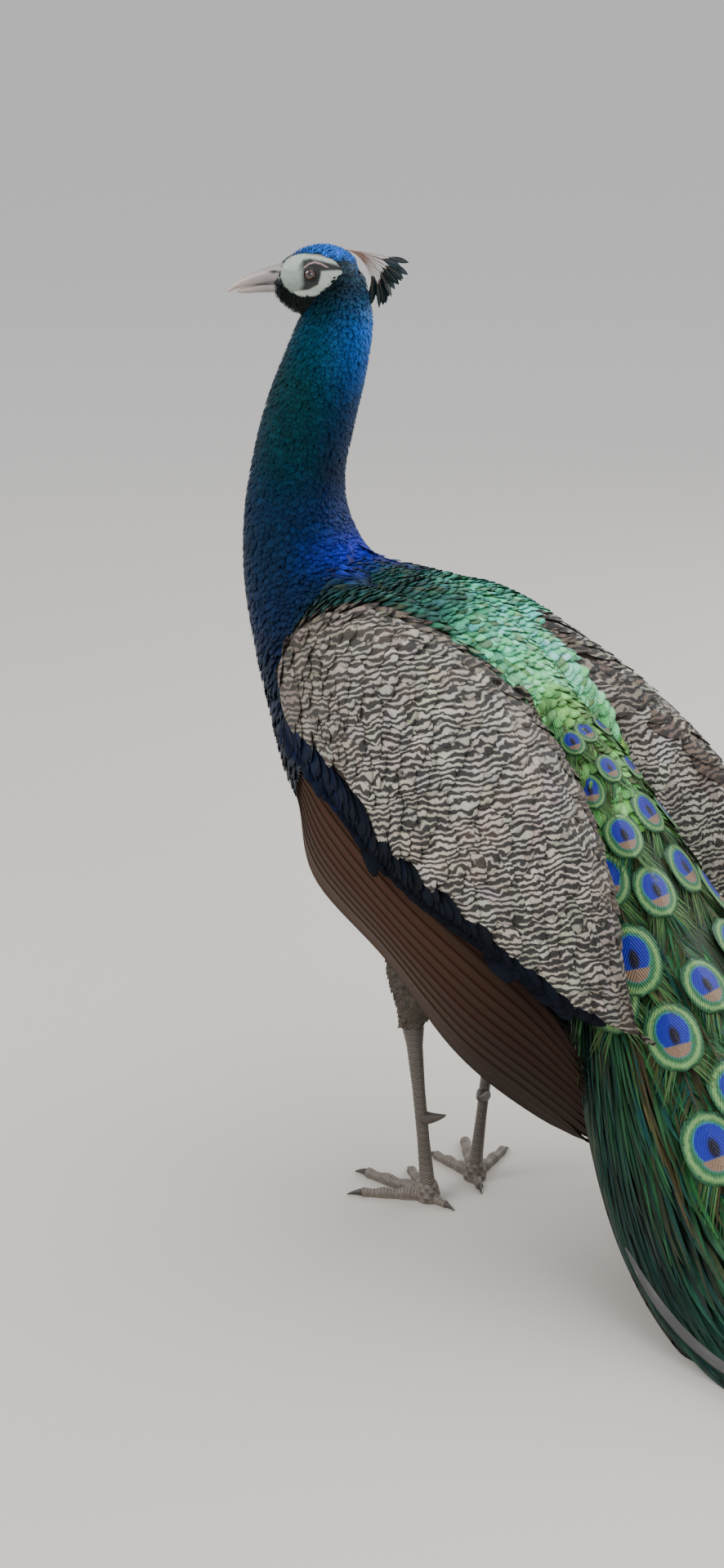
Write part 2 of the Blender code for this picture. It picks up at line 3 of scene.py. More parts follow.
import bpy
import numpy as np
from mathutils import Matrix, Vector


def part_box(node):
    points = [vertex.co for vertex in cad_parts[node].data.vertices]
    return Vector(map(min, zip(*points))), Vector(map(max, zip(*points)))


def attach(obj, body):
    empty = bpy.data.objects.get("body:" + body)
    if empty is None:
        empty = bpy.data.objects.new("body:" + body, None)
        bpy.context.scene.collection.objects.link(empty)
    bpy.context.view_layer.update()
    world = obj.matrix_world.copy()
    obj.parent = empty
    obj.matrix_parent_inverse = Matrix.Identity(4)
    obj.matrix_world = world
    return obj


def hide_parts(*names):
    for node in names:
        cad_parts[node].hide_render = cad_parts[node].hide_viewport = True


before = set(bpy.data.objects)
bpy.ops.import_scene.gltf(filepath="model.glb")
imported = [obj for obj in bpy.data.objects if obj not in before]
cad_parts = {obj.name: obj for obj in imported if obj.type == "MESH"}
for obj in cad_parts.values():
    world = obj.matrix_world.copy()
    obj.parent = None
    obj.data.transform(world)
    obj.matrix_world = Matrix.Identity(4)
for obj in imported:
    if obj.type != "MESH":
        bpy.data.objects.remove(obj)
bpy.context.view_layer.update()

# ------------------------------------------------------------------ The room
# A plain pale floor under large soft lamps, with the camera a little above
# the back, behind the left shoulder. The bird is measured from the point on
# the floor below its hips, and set into the shared frame by its left eye.
HEAD_AT = np.array([-0.136, -0.011, 0.838])
HEAD_TURN = math.radians(33)
EYE_FORWARD, EYE_OUT, EYE_UP, EYE_RADIUS = 0.0075, 0.0148, 0.0015, 0.0068
CAMERA_AT = np.array([1.138, -1.905, 1.096])
CAMERA_TURN, CAMERA_DIP, CAMERA_LENS = math.radians(33), math.radians(17.5), 60
FLOOR_REACH = 90.0
LAMPS = {  # place, width in metres, power in watts
    "lamp_front": ((-1.9, -2.3, 2.5), 2.4, 64),
    "lamp_side": ((2.6, -1.9, 1.5), 2.0, 36),
    "lamp_above": ((0.2, 0.4, 3.2), 3.0, 66),
    "lamp_behind": ((0.3, 2.6, 1.7), 2.0, 34),
}
LAMPS_FACE = (0.0, 0.0, 0.4)
SKY_PALE, SKY_STRENGTH = (0.86, 0.88, 0.92, 1.0), 0.72
FLOOR_DARK, FLOOR_PALE, FLOOR_FAR = (0.64, 0.60, 0.54), (0.70, 0.66, 0.60), (0.96, 0.93, 0.89)


def in_head(forward, left, up):
    """A place in the turned head: forward along the bill, out to the bird's left, and up."""
    ahead = np.array([-math.cos(HEAD_TURN), -math.sin(HEAD_TURN), 0.0])
    leftward = np.array([math.sin(HEAD_TURN), -math.cos(HEAD_TURN), 0.0])
    upward = np.array([0.0, 0.0, 1.0])
    return (HEAD_AT + np.multiply.outer(forward, ahead) + np.multiply.outer(left, leftward)
            + np.multiply.outer(up, upward))


class Tone:
    """A value that varies over a finish; sums and products of tones add their Math nodes."""

    def __init__(self, finish, socket):
        self.finish, self.socket = finish, socket

    def maths(self, operation, *terms):
        """A Math node on one or two terms."""
        return self.finish.node("ShaderNodeMath", {"operation": operation}, dict(enumerate(terms)))

    __add__ = lambda self, other: self.maths("ADD", self, other)
    __radd__ = lambda self, other: self.maths("ADD", other, self)
    __sub__ = lambda self, other: self.maths("SUBTRACT", self, other)
    __rsub__ = lambda self, other: self.maths("SUBTRACT", other, self)
    __mul__ = lambda self, other: self.maths("MULTIPLY", self, other)
    __rmul__ = lambda self, other: self.maths("MULTIPLY", other, self)
    __pow__ = lambda self, other: self.maths("POWER", self, other)
    __abs__ = lambda self: self.maths("ABSOLUTE", self)
    sine = lambda self: self.maths("SINE", self)
    root = lambda self: self.maths("SQRT", self)
    most = lambda self, other: self.maths("MAXIMUM", self, other)

    def step(self, low, high):
        """0 below low, 1 above high, an S-shaped rise between; it falls instead if low is above high."""
        falls = float(low > high)
        return self.finish.node("ShaderNodeMapRange", {"interpolation_type": "SMOOTHSTEP"}, {
            "Value": self, "From Min": min(low, high), "From Max": max(low, high),
            "To Min": falls, "To Max": 1 - falls})


class Finish:
    """One material and its nodes. `shader` takes what is the same all over the surface."""

    def __init__(self, name, **shader):
        self.material = bpy.data.materials.new(name)
        self.material.use_nodes = True
        self.tree = self.material.node_tree
        self.shader = self.tree.nodes["Principled BSDF"]
        for key, value in shader.items():
            self.feed(self.shader, {key.replace("_", " ").title().replace("Ior", "IOR"): value})

    def feed(self, node, values):
        """Sets or links a node's sockets, by name or number."""
        for key, value in values.items():
            socket = node.inputs[key]
            if isinstance(value, Tone):
                self.tree.links.new(value.socket, socket)
            elif socket.type == "RGBA":
                socket.default_value = (*value, 1.0)
            else:
                socket.default_value = value

    def node(self, kind, settings=None, values=None, output=0):
        """Any node: its settings first, then the values or links of its sockets."""
        made = self.tree.nodes.new(kind)
        for key, value in (settings or {}).items():
            setattr(made, key, value)
        self.feed(made, values or {})
        return Tone(self, made.outputs[output])

    def place(self):
        """The place of a point in the mesh's own measure."""
        return self.node("ShaderNodeTexCoord", output="Object")

    def read(self, attribute, output="Vector"):
        """An attribute of the mesh: a vector, or a colour with output="Color"."""
        return self.node("ShaderNodeAttribute", {"attribute_name": attribute}, output=output)

    def split(self, vector):
        """The three numbers of a vector."""
        outputs = self.node("ShaderNodeSeparateXYZ", {}, {0: vector}).socket.node.outputs
        return [Tone(self, socket) for socket in outputs]

    def join(self, x, y, z):
        """Three numbers made one vector."""
        return self.node("ShaderNodeCombineXYZ", {}, {0: x, 1: y, 2: z})

    def noise(self, vector, scale, detail=2.0):
        """A cloudy grain between 0 and 1, finer with scale and rougher with detail."""
        return self.node("ShaderNodeTexNoise", {}, {"Vector": vector, "Scale": scale, "Detail": detail})

    def drawn_out(self, *scale):
        """Noise in the mesh's own place, drawn out by a scale for each direction."""
        drawn = self.node("ShaderNodeMapping", {}, {"Vector": self.place(), "Scale": scale})
        return self.noise(drawn, 1.0, 3.0)

    def mix(self, share, first, second):
        """A colour that runs from first to second as share goes from 0 to 1."""
        return self.node("ShaderNodeMix", {"data_type": "RGBA"}, {0: share, 6: first, 7: second}, output=2)

    def shade(self, colour, level):
        """A colour made lighter or darker by a number."""
        return self.node("ShaderNodeVectorMath", {"operation": "SCALE"}, {0: colour, "Scale": level})

    def bump(self, height, distance):
        """Raises the surface by a height, up to a distance in metres."""
        raised = self.node("ShaderNodeBump", {}, {"Height": height, "Distance": distance})
        self.feed(self.shader, {"Normal": raised})

    def colour(self, tone):
        """Colours the surface by a colour that varies over it."""
        self.feed(self.shader, {"Base Color": tone})

    def stained(self, level):
        """Colours the surface by its own stain, made lighter or darker by a level."""
        self.colour(self.shade(self.read("tint", "Color"), level))


def into_scene(thing):
    """Links an object to the scene and gives it back."""
    bpy.context.scene.collection.objects.link(thing)
    return thing


eye_low, eye_high = (np.array(corner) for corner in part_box("eye_left"))
SHIFT = (eye_low + eye_high) / 2 - in_head(EYE_FORWARD, EYE_OUT, EYE_UP)

camera = into_scene(bpy.data.objects.new("camera", bpy.data.cameras.new("camera")))
camera.location = CAMERA_AT + SHIFT
camera.rotation_euler = (math.pi / 2 - CAMERA_DIP, 0.0, CAMERA_TURN)
camera.data.lens = CAMERA_LENS
camera.data.clip_end = 2 * FLOOR_REACH
bpy.context.scene.camera = camera

for lamp_name, (lamp_at, lamp_size, lamp_power) in LAMPS.items():
    lamp = into_scene(bpy.data.objects.new(lamp_name, bpy.data.lights.new(lamp_name, "AREA")))
    lamp.data.shape = "DISK"
    lamp.data.size, lamp.data.energy, lamp.location = lamp_size, lamp_power, lamp_at
    lamp.rotation_mode = "QUATERNION"
    lamp.rotation_quaternion = (lamp.location - Vector(LAMPS_FACE)).to_track_quat("Z", "Y")

sky = bpy.data.worlds.new("pale room")
sky.use_nodes = True
sky.node_tree.nodes["Background"].inputs["Color"].default_value = SKY_PALE
sky.node_tree.nodes["Background"].inputs["Strength"].default_value = SKY_STRENGTH
bpy.context.scene.world = sky

floor_paint = Finish("pale floor", roughness=0.92)
floor_cloud = floor_paint.noise(floor_paint.place(), 0.8, 4.0)
floor_x, floor_y, _ = floor_paint.split(floor_paint.place())
floor_far = (floor_x * floor_x + floor_y * floor_y).root().step(0.8, 6.0)
floor_near = floor_paint.mix(floor_cloud, FLOOR_DARK, FLOOR_PALE)
floor_paint.colour(floor_paint.mix(floor_far, floor_near, FLOOR_FAR))
floor_turn = np.linspace(0, 2 * np.pi, 64, endpoint=False)
floor_rim = np.stack([np.cos(floor_turn), np.sin(floor_turn), 0 * floor_turn], 1) * FLOOR_REACH
floor_mesh = bpy.data.meshes.new("floor")
floor_mesh.from_pydata(floor_rim.tolist(), [], [list(range(64))])
floor_mesh.materials.append(floor_paint.material)
into_scene(bpy.data.objects.new("floor", floor_mesh))

# ------------------------------------------------------------------ Skin
# One skin covers the skull, neck, trunk, folded wings, thighs and vent, and
# lies under the feathers by their depth. It is drawn as one net over all of
# them, so no part ends at a seam, and is stained as the feathers over it are,
# but much darker, and dark brown under the wings: painted shade under the feathers.
SPINE = np.array([  # from skull to rump: x, z, half width, depth to the back, to the belly
    (-0.119, 0.838, 0.020, 0.020, 0.020),
    (-0.127, 0.806, 0.030, 0.035, 0.025),
    (-0.140, 0.762, 0.035, 0.041, 0.033),
    (-0.156, 0.712, 0.038, 0.043, 0.039),
    (-0.167, 0.662, 0.040, 0.043, 0.043),
    (-0.169, 0.614, 0.046, 0.052, 0.049),
    (-0.158, 0.562, 0.058, 0.074, 0.057),
    (-0.128, 0.512, 0.080, 0.106, 0.073),
    (-0.080, 0.465, 0.100, 0.136, 0.114),
    (-0.022, 0.418, 0.112, 0.142, 0.132),
    (0.042, 0.371, 0.110, 0.128, 0.120),
    (0.100, 0.331, 0.092, 0.094, 0.098),
    (0.150, 0.297, 0.064, 0.062, 0.068),
    (0.188, 0.271, 0.034, 0.034, 0.038),
    (0.208, 0.257, 0.012, 0.012, 0.014),
])
SKULL = np.array([  # forward, axis height, half width, depth above, below
    (-0.033, 0.000, 0.0040, 0.0060, 0.0060),
    (-0.030, 0.000, 0.0110, 0.0140, 0.0140),
    (-0.021, 0.000, 0.0170, 0.0210, 0.0220),
    (-0.008, 0.000, 0.0195, 0.0252, 0.0290),
    (0.006, -0.001, 0.0190, 0.0255, 0.0335),
    (0.019, -0.003, 0.0165, 0.0225, 0.0310),
    (0.029, -0.005, 0.0130, 0.0165, 0.0230),
    (0.036, -0.006, 0.0098, 0.0112, 0.0150),
    (0.039, -0.007, 0.0070, 0.0080, 0.0100),
])
WING_LEFT = np.array([  # top edge, bottom edge, swell between them, thickness, wrist to rump
    (-0.113, 0.113, 0.508, -0.113, 0.115, 0.496, 0.001, 0.004),
    (-0.092, 0.106, 0.556, -0.094, 0.129, 0.462, 0.014, 0.022),
    (-0.030, 0.080, 0.574, -0.042, 0.142, 0.421, 0.040, 0.036),
    (0.050, 0.054, 0.534, 0.030, 0.150, 0.362, 0.054, 0.040),
    (0.128, 0.047, 0.468, 0.105, 0.150, 0.324, 0.050, 0.032),
    (0.192, 0.074, 0.384, 0.182, 0.140, 0.281, 0.026, 0.014),
    (0.243, 0.119, 0.276, 0.246, 0.126, 0.260, 0.001, 0.002),
])
WING_RIGHT = np.array([  # held a little raised and away from the rump
    (-0.113, 0.113, 0.508, -0.113, 0.115, 0.496, 0.001, 0.004),
    (-0.092, 0.110, 0.548, -0.094, 0.129, 0.462, 0.014, 0.022),
    (-0.030, 0.088, 0.556, -0.042, 0.142, 0.421, 0.040, 0.036),
    (0.050, 0.078, 0.524, 0.030, 0.150, 0.362, 0.054, 0.040),
    (0.132, 0.088, 0.478, 0.108, 0.154, 0.328, 0.048, 0.032),
    (0.204, 0.116, 0.414, 0.192, 0.158, 0.294, 0.024, 0.014),
    (0.258, 0.148, 0.304, 0.258, 0.152, 0.288, 0.001, 0.002),
])
VENT = np.array([  # x, z, half width, depth above, below
    (0.060, 0.262, 0.050, 0.030, 0.030),
    (0.110, 0.238, 0.052, 0.040, 0.040),
    (0.165, 0.208, 0.044, 0.036, 0.036),
    (0.215, 0.176, 0.028, 0.022, 0.022),
    (0.245, 0.156, 0.010, 0.007, 0.007),
])
TRAIN = np.array([  # x, height of the ridge, height of the edges, half width, thickness
    (0.085, 0.514, 0.480, 0.040, 0.020),
    (0.145, 0.460, 0.310, 0.074, 0.045),
    (0.195, 0.392, 0.165, 0.112, 0.065),
    (0.250, 0.312, 0.078, 0.146, 0.085),
    (0.325, 0.226, 0.024, 0.178, 0.095),
    (0.420, 0.152, 0.008, 0.204, 0.098),
    (0.560, 0.090, 0.006, 0.222, 0.080),
    (0.760, 0.053, 0.005, 0.232, 0.056),
    (1.000, 0.033, 0.004, 0.236, 0.037),
    (1.240, 0.020, 0.003, 0.226, 0.024),
    (1.400, 0.009, 0.0025, 0.200, 0.012),
])
TRAIN_ROUNDING = 0.20
LEGS = {  # side, foot (forward of the hips, out), hock, turn of the foot
    "left": dict(side=-1, foot=(-0.006, 0.031), hock=(-0.013, 0.050), turn=math.radians(-8)),
    "right": dict(side=1, foot=(0.008, 0.030), hock=(0.018, 0.048), turn=math.radians(52)),
}
HIP = np.array([0.050, 0.060, 0.335])
HOCK_HEIGHT = 0.184
SKIN_MESH = 0.003
WING_LEAN = 0.72
SHOULDER_TURN, SHOULDER_TRAIN, SHOULDER_ARCH, SHOULDER_COAT = 0.42, 0.45, 0.006, 0.006
COAT_AT = (0.0, 1.0, 5.0, 7.0, 9.0, 12.0, 14.0)
COAT_DEPTH = (0.0015, 0.0028, 0.0032, 0.0060, 0.0070, 0.0050, 0.0030)
HEAD_COAT, WING_COAT, THIGH_COAT, VENT_COAT = 0.0015, 0.0050, 0.0030, 0.0040
SLOPE_ENDS = {-1: 3.6, 1: 5.3}
SIDES = 40
# The skin takes painted shade: a darkened copy of the feathers' colour, and dark brown under the wings.
UNDER_WING, UNDER_PAINTED_SHADE, CHIN_SHADE = (0.045, 0.032, 0.024), 0.35, 0.85


def through(rows, at):
    """Rows of a table read at fractional places: the Catmull-Rom cubic of the four nearest rows, and
    straight past the first and the last."""
    rows = np.asarray(rows, float)
    ends = np.vstack([2 * rows[0] - rows[1], rows, 2 * rows[-1] - rows[-2]])
    at = np.asarray(at, float)
    inside = np.clip(at, 0, len(rows) - 1)
    i = np.minimum(inside.astype(int), len(rows) - 2)
    f = (inside - i)[..., None]
    past = (at - inside)[..., None]
    a, b, c, d = ends[i], ends[i + 1], ends[i + 2], ends[i + 3]
    curve = b + 0.5 * f * (c - a + f * (2 * a - 5 * b + 4 * c - d + f * (3 * b - a - 3 * c + d)))
    return curve + past * np.where(past < 0, rows[1] - rows[0], rows[-1] - rows[-2])


def unit(vector):
    """Vectors divided by their own length."""
    return vector / np.maximum(np.linalg.norm(vector, axis=-1, keepdims=True), 1e-12)


def line_run(table, t):
    """The direction, in x and z, of the line whose places open the rows of a table."""
    return unit(through(table, t + 0.05)[..., :2] - through(table, t - 0.05)[..., :2])


def round_line(table, t, turn, inset, least):
    """A round part: its line at t, plus its half width times sin(turn) to the left and its depth times
    cos(turn) to the back, all less the inset but no less than the least."""
    t, turn = np.broadcast_arrays(t, turn)
    x, z, wide, back, belly = np.moveaxis(through(table, t), -1, 0)
    run = line_run(table, t)
    deep = np.where(np.cos(turn) > 0, back, belly)
    rise = np.maximum(deep - inset, least) * np.cos(turn)
    out = np.maximum(wide - inset, least) * np.sin(turn)
    return np.stack([x - run[..., 1] * rise, -out, z + run[..., 0] * rise], -1)


def body(t, turn, inset=0.0):
    """Neck and trunk, from the skull at t=0 to the rump at t=14."""
    return round_line(SPINE, t, turn, inset, 0.0004)


def skull(forward, turn, inset=0.0):
    """The head round its own axis: the row of SKULL at `forward`, an ellipse turned from crown to left."""
    forward, turn = np.broadcast_arrays(forward, turn)
    ahead, axis, wide, above, below = np.moveaxis(through(SKULL, forward), -1, 0)
    deep = np.where(np.cos(turn) > 0, above, below)
    out = np.maximum(wide - inset, 0.0003) * np.sin(turn)
    return in_head(ahead, out, axis + np.maximum(deep - inset, 0.0003) * np.cos(turn))


def sheet_between(table, a, v, side, lean):
    """A swollen sheet of feathers: a point at share v from its top edge to its bottom one, plus its swell
    outwards times sin(pi v^lean)^0.8; above the top edge it turns straight in. With its outward direction
    and thickness."""
    a, v = np.broadcast_arrays(a, v)
    row = through(table, a)
    top, bottom, swell = row[..., 0:3], row[..., 3:6], row[..., 6]
    near = through(table, a + 0.05) - through(table, a - 0.05)
    out = unit(np.cross(bottom - top, near[..., 0:3] + near[..., 3:6]))
    out = out * np.sign(out[..., 1:2])
    arch = np.sin(np.pi * np.clip(v, 0, 1) ** lean) ** 0.8
    rise = np.maximum(swell, 0) * arch + np.minimum(v, 0) * np.linalg.norm(bottom - top, axis=-1)
    point = top + (bottom - top) * np.maximum(v, 0)[..., None] + out * rise[..., None]
    mirror = np.array([1, side, 1])
    return point * mirror, out * mirror, np.maximum(row[..., 7], 0.001)


def wing_table(side):
    """The rows of the right wing for side 1, of the left one for side -1."""
    return WING_RIGHT if side > 0 else WING_LEFT


def wing(side):
    """The outer face of a folded wing: a from wrist to rump, v from the top edge to the bottom one."""
    return lambda a, v: sheet_between(wing_table(side), a, v, side, WING_LEAN)[0]


def vent(t, turn, inset=0.0):
    """The downy underside behind the legs, round its own line."""
    return round_line(VENT, t, turn, inset, 0.0005)


def thigh(side, hock):
    """The feathered leg from hip to hock: level ellipses, with their fore and side half widths."""
    knee = np.array([hock[0], side * hock[1], HOCK_HEIGHT])
    hip = HIP * [1, side, 1]
    table = np.array([
        (*hip, 0.050, 0.044),
        (*(hip * 0.62 + knee * 0.38 + [-0.004, side * 0.004, 0]), 0.049, 0.038),
        (*(hip * 0.32 + knee * 0.68 + [-0.004, side * 0.003, 0]), 0.034, 0.027),
        (*(hip * 0.10 + knee * 0.90), 0.019, 0.017),
        (*knee, 0.0125, 0.0115),
    ])

    def leg(t, turn, inset=0.0):
        t, turn = np.broadcast_arrays(t, turn)
        row = through(table, t)
        ring = np.stack([np.maximum(row[..., 3] - inset, 0.001) * np.cos(turn),
                         np.maximum(row[..., 4] - inset, 0.001) * np.sin(turn), 0 * turn], -1)
        return row[..., :3] + ring

    return leg


def grid_quads(count, rows, columns, closed=False):
    """Corner numbers of the quads of `count` grids of points; a closed grid's last column meets its first."""
    first = np.arange(columns if closed else columns - 1)
    after = (first + 1) % columns
    row = np.arange(rows - 1)[:, None] * columns
    quad = np.stack([row + first, row + after, row + columns + after, row + columns + first], -1)
    return (quad.reshape(-1, 4) + np.arange(count)[:, None, None] * rows * columns).reshape(-1, 4)


def mesh_of(name, points, quads):
    """A smooth mesh from corner places in the bird's measure and quads of their numbers."""
    mesh = bpy.data.meshes.new(name)
    mesh.vertices.add(len(points))
    mesh.vertices.foreach_set("co", (points + SHIFT).astype(np.float32).ravel())
    mesh.loops.add(quads.size)
    mesh.loops.foreach_set("vertex_index", quads.astype(np.int32).ravel())
    mesh.polygons.add(len(quads))
    mesh.polygons.foreach_set("loop_start", np.arange(0, quads.size, 4, dtype=np.int32))
    mesh.update(calc_edges=True)
    mesh.shade_smooth()
    return mesh


def spread(mesh, name, kind, values):
    """Writes one value for each corner place into an attribute of the mesh."""
    layer = mesh.attributes.new(name, kind, "POINT")
    layer.data.foreach_set("color" if kind == "FLOAT_COLOR" else "vector", values.astype(np.float32).ravel())


def stain(mesh, colours):
    """Gives each corner of a mesh its colour, in the attribute `tint`."""
    spread(mesh, "tint", "FLOAT_COLOR", np.concatenate([colours, np.ones((len(colours), 1))], 1))


def piece(name, mesh, finish, slot, *replaced):
    """Sets a mesh into the scene: its finish, its body and the solids that it stands for; `slot` is not used.
    """
    made = into_scene(bpy.data.objects.new(name, mesh))
    mesh.materials.clear()
    mesh.materials.append(finish.material)
    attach(made, "root")
    if replaced:
        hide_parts(*replaced)


def by_place(t, stations):
    """Colours between the rows (t, red, green, blue) of a list of stations."""
    table = np.array(stations)
    return np.stack([np.interp(t, table[:, 0], table[:, k]) for k in (1, 2, 3)], -1)


def between(first, second, share):
    """A colour that runs from first to second as share goes from 0 to 1."""
    return np.array(first) * (1 - share) + np.array(second) * share


# Colours along the back, side and front of neck and trunk. The bright azure down the back of the neck in
# ALONG_BACK and the teal-green of the neck's sides in ALONG_SIDE are painted sheen over its blue.
ALONG_BACK = (
    (0.0, 0.036, 0.095, 0.160), (0.5, 0.026, 0.130, 0.330), (1.0, 0.012, 0.180, 0.720),
    (1.7, 0.008, 0.110, 0.440), (2.4, 0.004, 0.040, 0.130), (3.6, 0.003, 0.022, 0.070),
    (4.7, 0.004, 0.022, 0.150), (5.4, 0.012, 0.024, 0.600), (5.8, 0.008, 0.036, 0.220),
    (6.2, 0.010, 0.090, 0.090), (7.1, 0.045, 0.300, 0.220), (8.2, 0.100, 0.540, 0.330),
    (9.6, 0.150, 0.520, 0.190), (10.6, 0.180, 0.440, 0.110), (13.0, 0.090, 0.260, 0.060),
)
ALONG_SIDE = (
    (0.0, 0.003, 0.010, 0.014), (0.7, 0.003, 0.034, 0.058), (1.3, 0.004, 0.080, 0.150),
    (2.2, 0.003, 0.062, 0.078), (3.4, 0.003, 0.048, 0.070), (4.4, 0.003, 0.030, 0.086),
    (5.2, 0.003, 0.026, 0.072), (6.0, 0.003, 0.020, 0.076), (7.0, 0.003, 0.014, 0.044),
    (8.0, 0.003, 0.012, 0.028), (10.0, 0.006, 0.011, 0.016), (12.0, 0.024, 0.018, 0.014),
    (14.0, 0.040, 0.030, 0.022),
)
ALONG_FRONT = (
    (0.0, 0.002, 0.005, 0.006), (1.0, 0.002, 0.008, 0.010), (2.0, 0.002, 0.018, 0.030),
    (3.5, 0.002, 0.016, 0.045), (5.0, 0.003, 0.018, 0.044), (6.5, 0.003, 0.014, 0.034),
    (8.0, 0.003, 0.013, 0.026), (9.5, 0.004, 0.012, 0.018), (11.0, 0.016, 0.013, 0.011),
    (12.5, 0.050, 0.038, 0.028), (14.0, 0.070, 0.056, 0.042),
)


def plumage_colour_and_sheen(t, turn):
    """Colour of neck and trunk, with painted sheen: stations along back, side and front, weighed by |cos|^2.6
    and the rest.
    """
    towards = np.cos(turn)[..., None]
    middle = np.where(towards > 0, by_place(t, ALONG_BACK), by_place(t, ALONG_FRONT))
    share = np.abs(towards) ** 2.6
    return by_place(t, ALONG_SIDE) * (1 - share) + middle * share


def spine_place(points):
    """The place (t, turn) beside the spine of each point: the closest of many samples, and the angle."""
    t = np.linspace(0, 14, 141)
    row = through(SPINE, t)
    run = line_run(SPINE, t)
    gap_x = points[:, None, 0] - row[None, :, 0]
    gap_z = points[:, None, 2] - row[None, :, 1]
    size = (row[:, 3] + row[:, 4]) / 2
    past = (gap_x * run[:, 0] + gap_z * run[:, 1]) / size
    nearest = np.argmin((gap_x**2 + gap_z**2) / size**2 + past**2 * 4, 1)
    pick = np.arange(len(points))
    rise = -gap_x[pick, nearest] * run[nearest, 1] + gap_z[pick, nearest] * run[nearest, 0]
    return t[nearest], np.arctan2(-points[:, 1], rise)


def train(t, a):
    """The train's upper face: at row t, an arch from its right edge (a=-1) to its left (a=1); its half
    width times sin, its rise times cos^0.85, drawn forward at the sides towards the end to round it off; it
    hangs down past them."""
    t, a = np.broadcast_arrays(t, a)
    x, top, edge, wide, thick = np.moveaxis(through(TRAIN, t), -1, 0)
    angle = np.clip(a, -1, 1) * np.pi / 2
    hang = np.maximum(np.abs(a) - 1, 0) * wide
    reach = (x - TRAIN[0, 0]) / (TRAIN[-1, 0] - TRAIN[0, 0])
    along = TRAIN[0, 0] + (x - TRAIN[0, 0]) * (1 - TRAIN_ROUNDING * a**2 * np.clip(reach, 0, 2) ** 3)
    rise = np.maximum(np.cos(angle), 0) ** 0.85
    return np.stack([along, -wide * np.sin(angle) - 0.10 * np.sign(a) * hang,
                     edge + (top - edge) * rise - 1.3 * hang], -1)


def shoulder(side):
    """The slope between back and wing: straight across from a line down the back and the train's root,
    beside their middle, to the wing's top edge level with it, plus a low arch that dies out both ways."""
    back_t, train_t = np.linspace(4.0, 12.0, 160), np.linspace(0.9, 3.4, 40)
    inner_line = np.concatenate([body(back_t, -side * SHOULDER_TURN), train(train_t, -side * SHOULDER_TRAIN)])
    inner_line = inner_line[np.argsort(inner_line[:, 0])]
    kernel = np.ones(9) / 9
    beside = [np.convolve(np.pad(inner_line[:, k], 4, mode="edge"), kernel, "valid") for k in (1, 2)]

    def slope(a, b):
        a, b = np.broadcast_arrays(a, b)
        edge = through(wing_table(side), a)[..., :3] * [1, side, 1]
        at = edge[..., 0]
        inner = np.stack([at, *(np.interp(at, inner_line[:, 0], line) for line in beside)], -1)
        rise = SHOULDER_ARCH * np.sin(np.pi * np.clip(b, 0, 1))
        return inner + (edge - inner) * b[..., None] + rise[..., None] * np.array([0.5, 0, 0.85])

    return slope


turns = np.linspace(0, 2 * np.pi, SIDES, endpoint=False)
places = np.linspace(0, 14, 113)[:, None]
shells = [body(places, turns, np.interp(places, COAT_AT, COAT_DEPTH)),
          skull(np.linspace(0, 8, 60)[:, None], turns, HEAD_COAT),
          vent(np.linspace(0, 4, 30)[:, None], turns, VENT_COAT)]
for leg in LEGS.values():
    shells.append(thigh(leg["side"], leg["hock"])(np.linspace(0, 4, 40)[:, None], turns, THIGH_COAT))
for side in (-1, 1):
    around = np.concatenate([np.linspace(0.04, 0.96, SIDES // 2), np.linspace(0.96, 0.04, SIDES // 2)])
    outer, outward, thick = sheet_between(wing_table(side), np.linspace(0.25, 5.4, 60)[:, None], around, side,
                                          WING_LEAN)
    depth = np.where(np.arange(SIDES) < SIDES // 2, WING_COAT, WING_COAT + 0.5 * thick)
    shells.append(outer - outward * depth[..., None])
    over = np.concatenate([np.linspace(-0.1, 1.0, SIDES // 2), np.linspace(1.0, -0.1, SIDES // 2)])
    sunk = np.where(np.arange(SIDES) < SIDES // 2, SHOULDER_COAT, SHOULDER_COAT + 0.020)
    slope = shoulder(side)(np.linspace(0.5, SLOPE_ENDS[side], 56)[:, None], over)
    shells.append(slope - sunk[:, None] * np.array([0.5, 0, 0.85]))

shell_points, shell_quads, shell_caps, used = [], [], [], 0
for shell in shells:
    rows, columns = shell.shape[:2]
    shell_points.append(shell.reshape(-1, 3))
    shell_quads.append(grid_quads(1, rows, columns, closed=True) + used)
    shell_caps.append([list(range(used, used + columns)),
                       list(range(used + rows * columns - 1, used + (rows - 1) * columns - 1, -1))])
    used += rows * columns
raw_skin = bpy.data.meshes.new("raw_skin")
raw_skin.from_pydata((np.concatenate(shell_points) + SHIFT).tolist(), [],
                     np.concatenate(shell_quads).tolist() + sum(shell_caps, []))
net = into_scene(bpy.data.objects.new("net", raw_skin))
remesh = net.modifiers.new("net", "REMESH")
remesh.mode, remesh.voxel_size = "VOXEL", SKIN_MESH
smooth = net.modifiers.new("smooth", "SMOOTH")
smooth.iterations, smooth.factor = 6, 0.5
skin_mesh = bpy.data.meshes.new_from_object(net.evaluated_get(bpy.context.evaluated_depsgraph_get()))
bpy.data.objects.remove(net)
skin_mesh.name = "skin"
skin_mesh.shade_smooth()

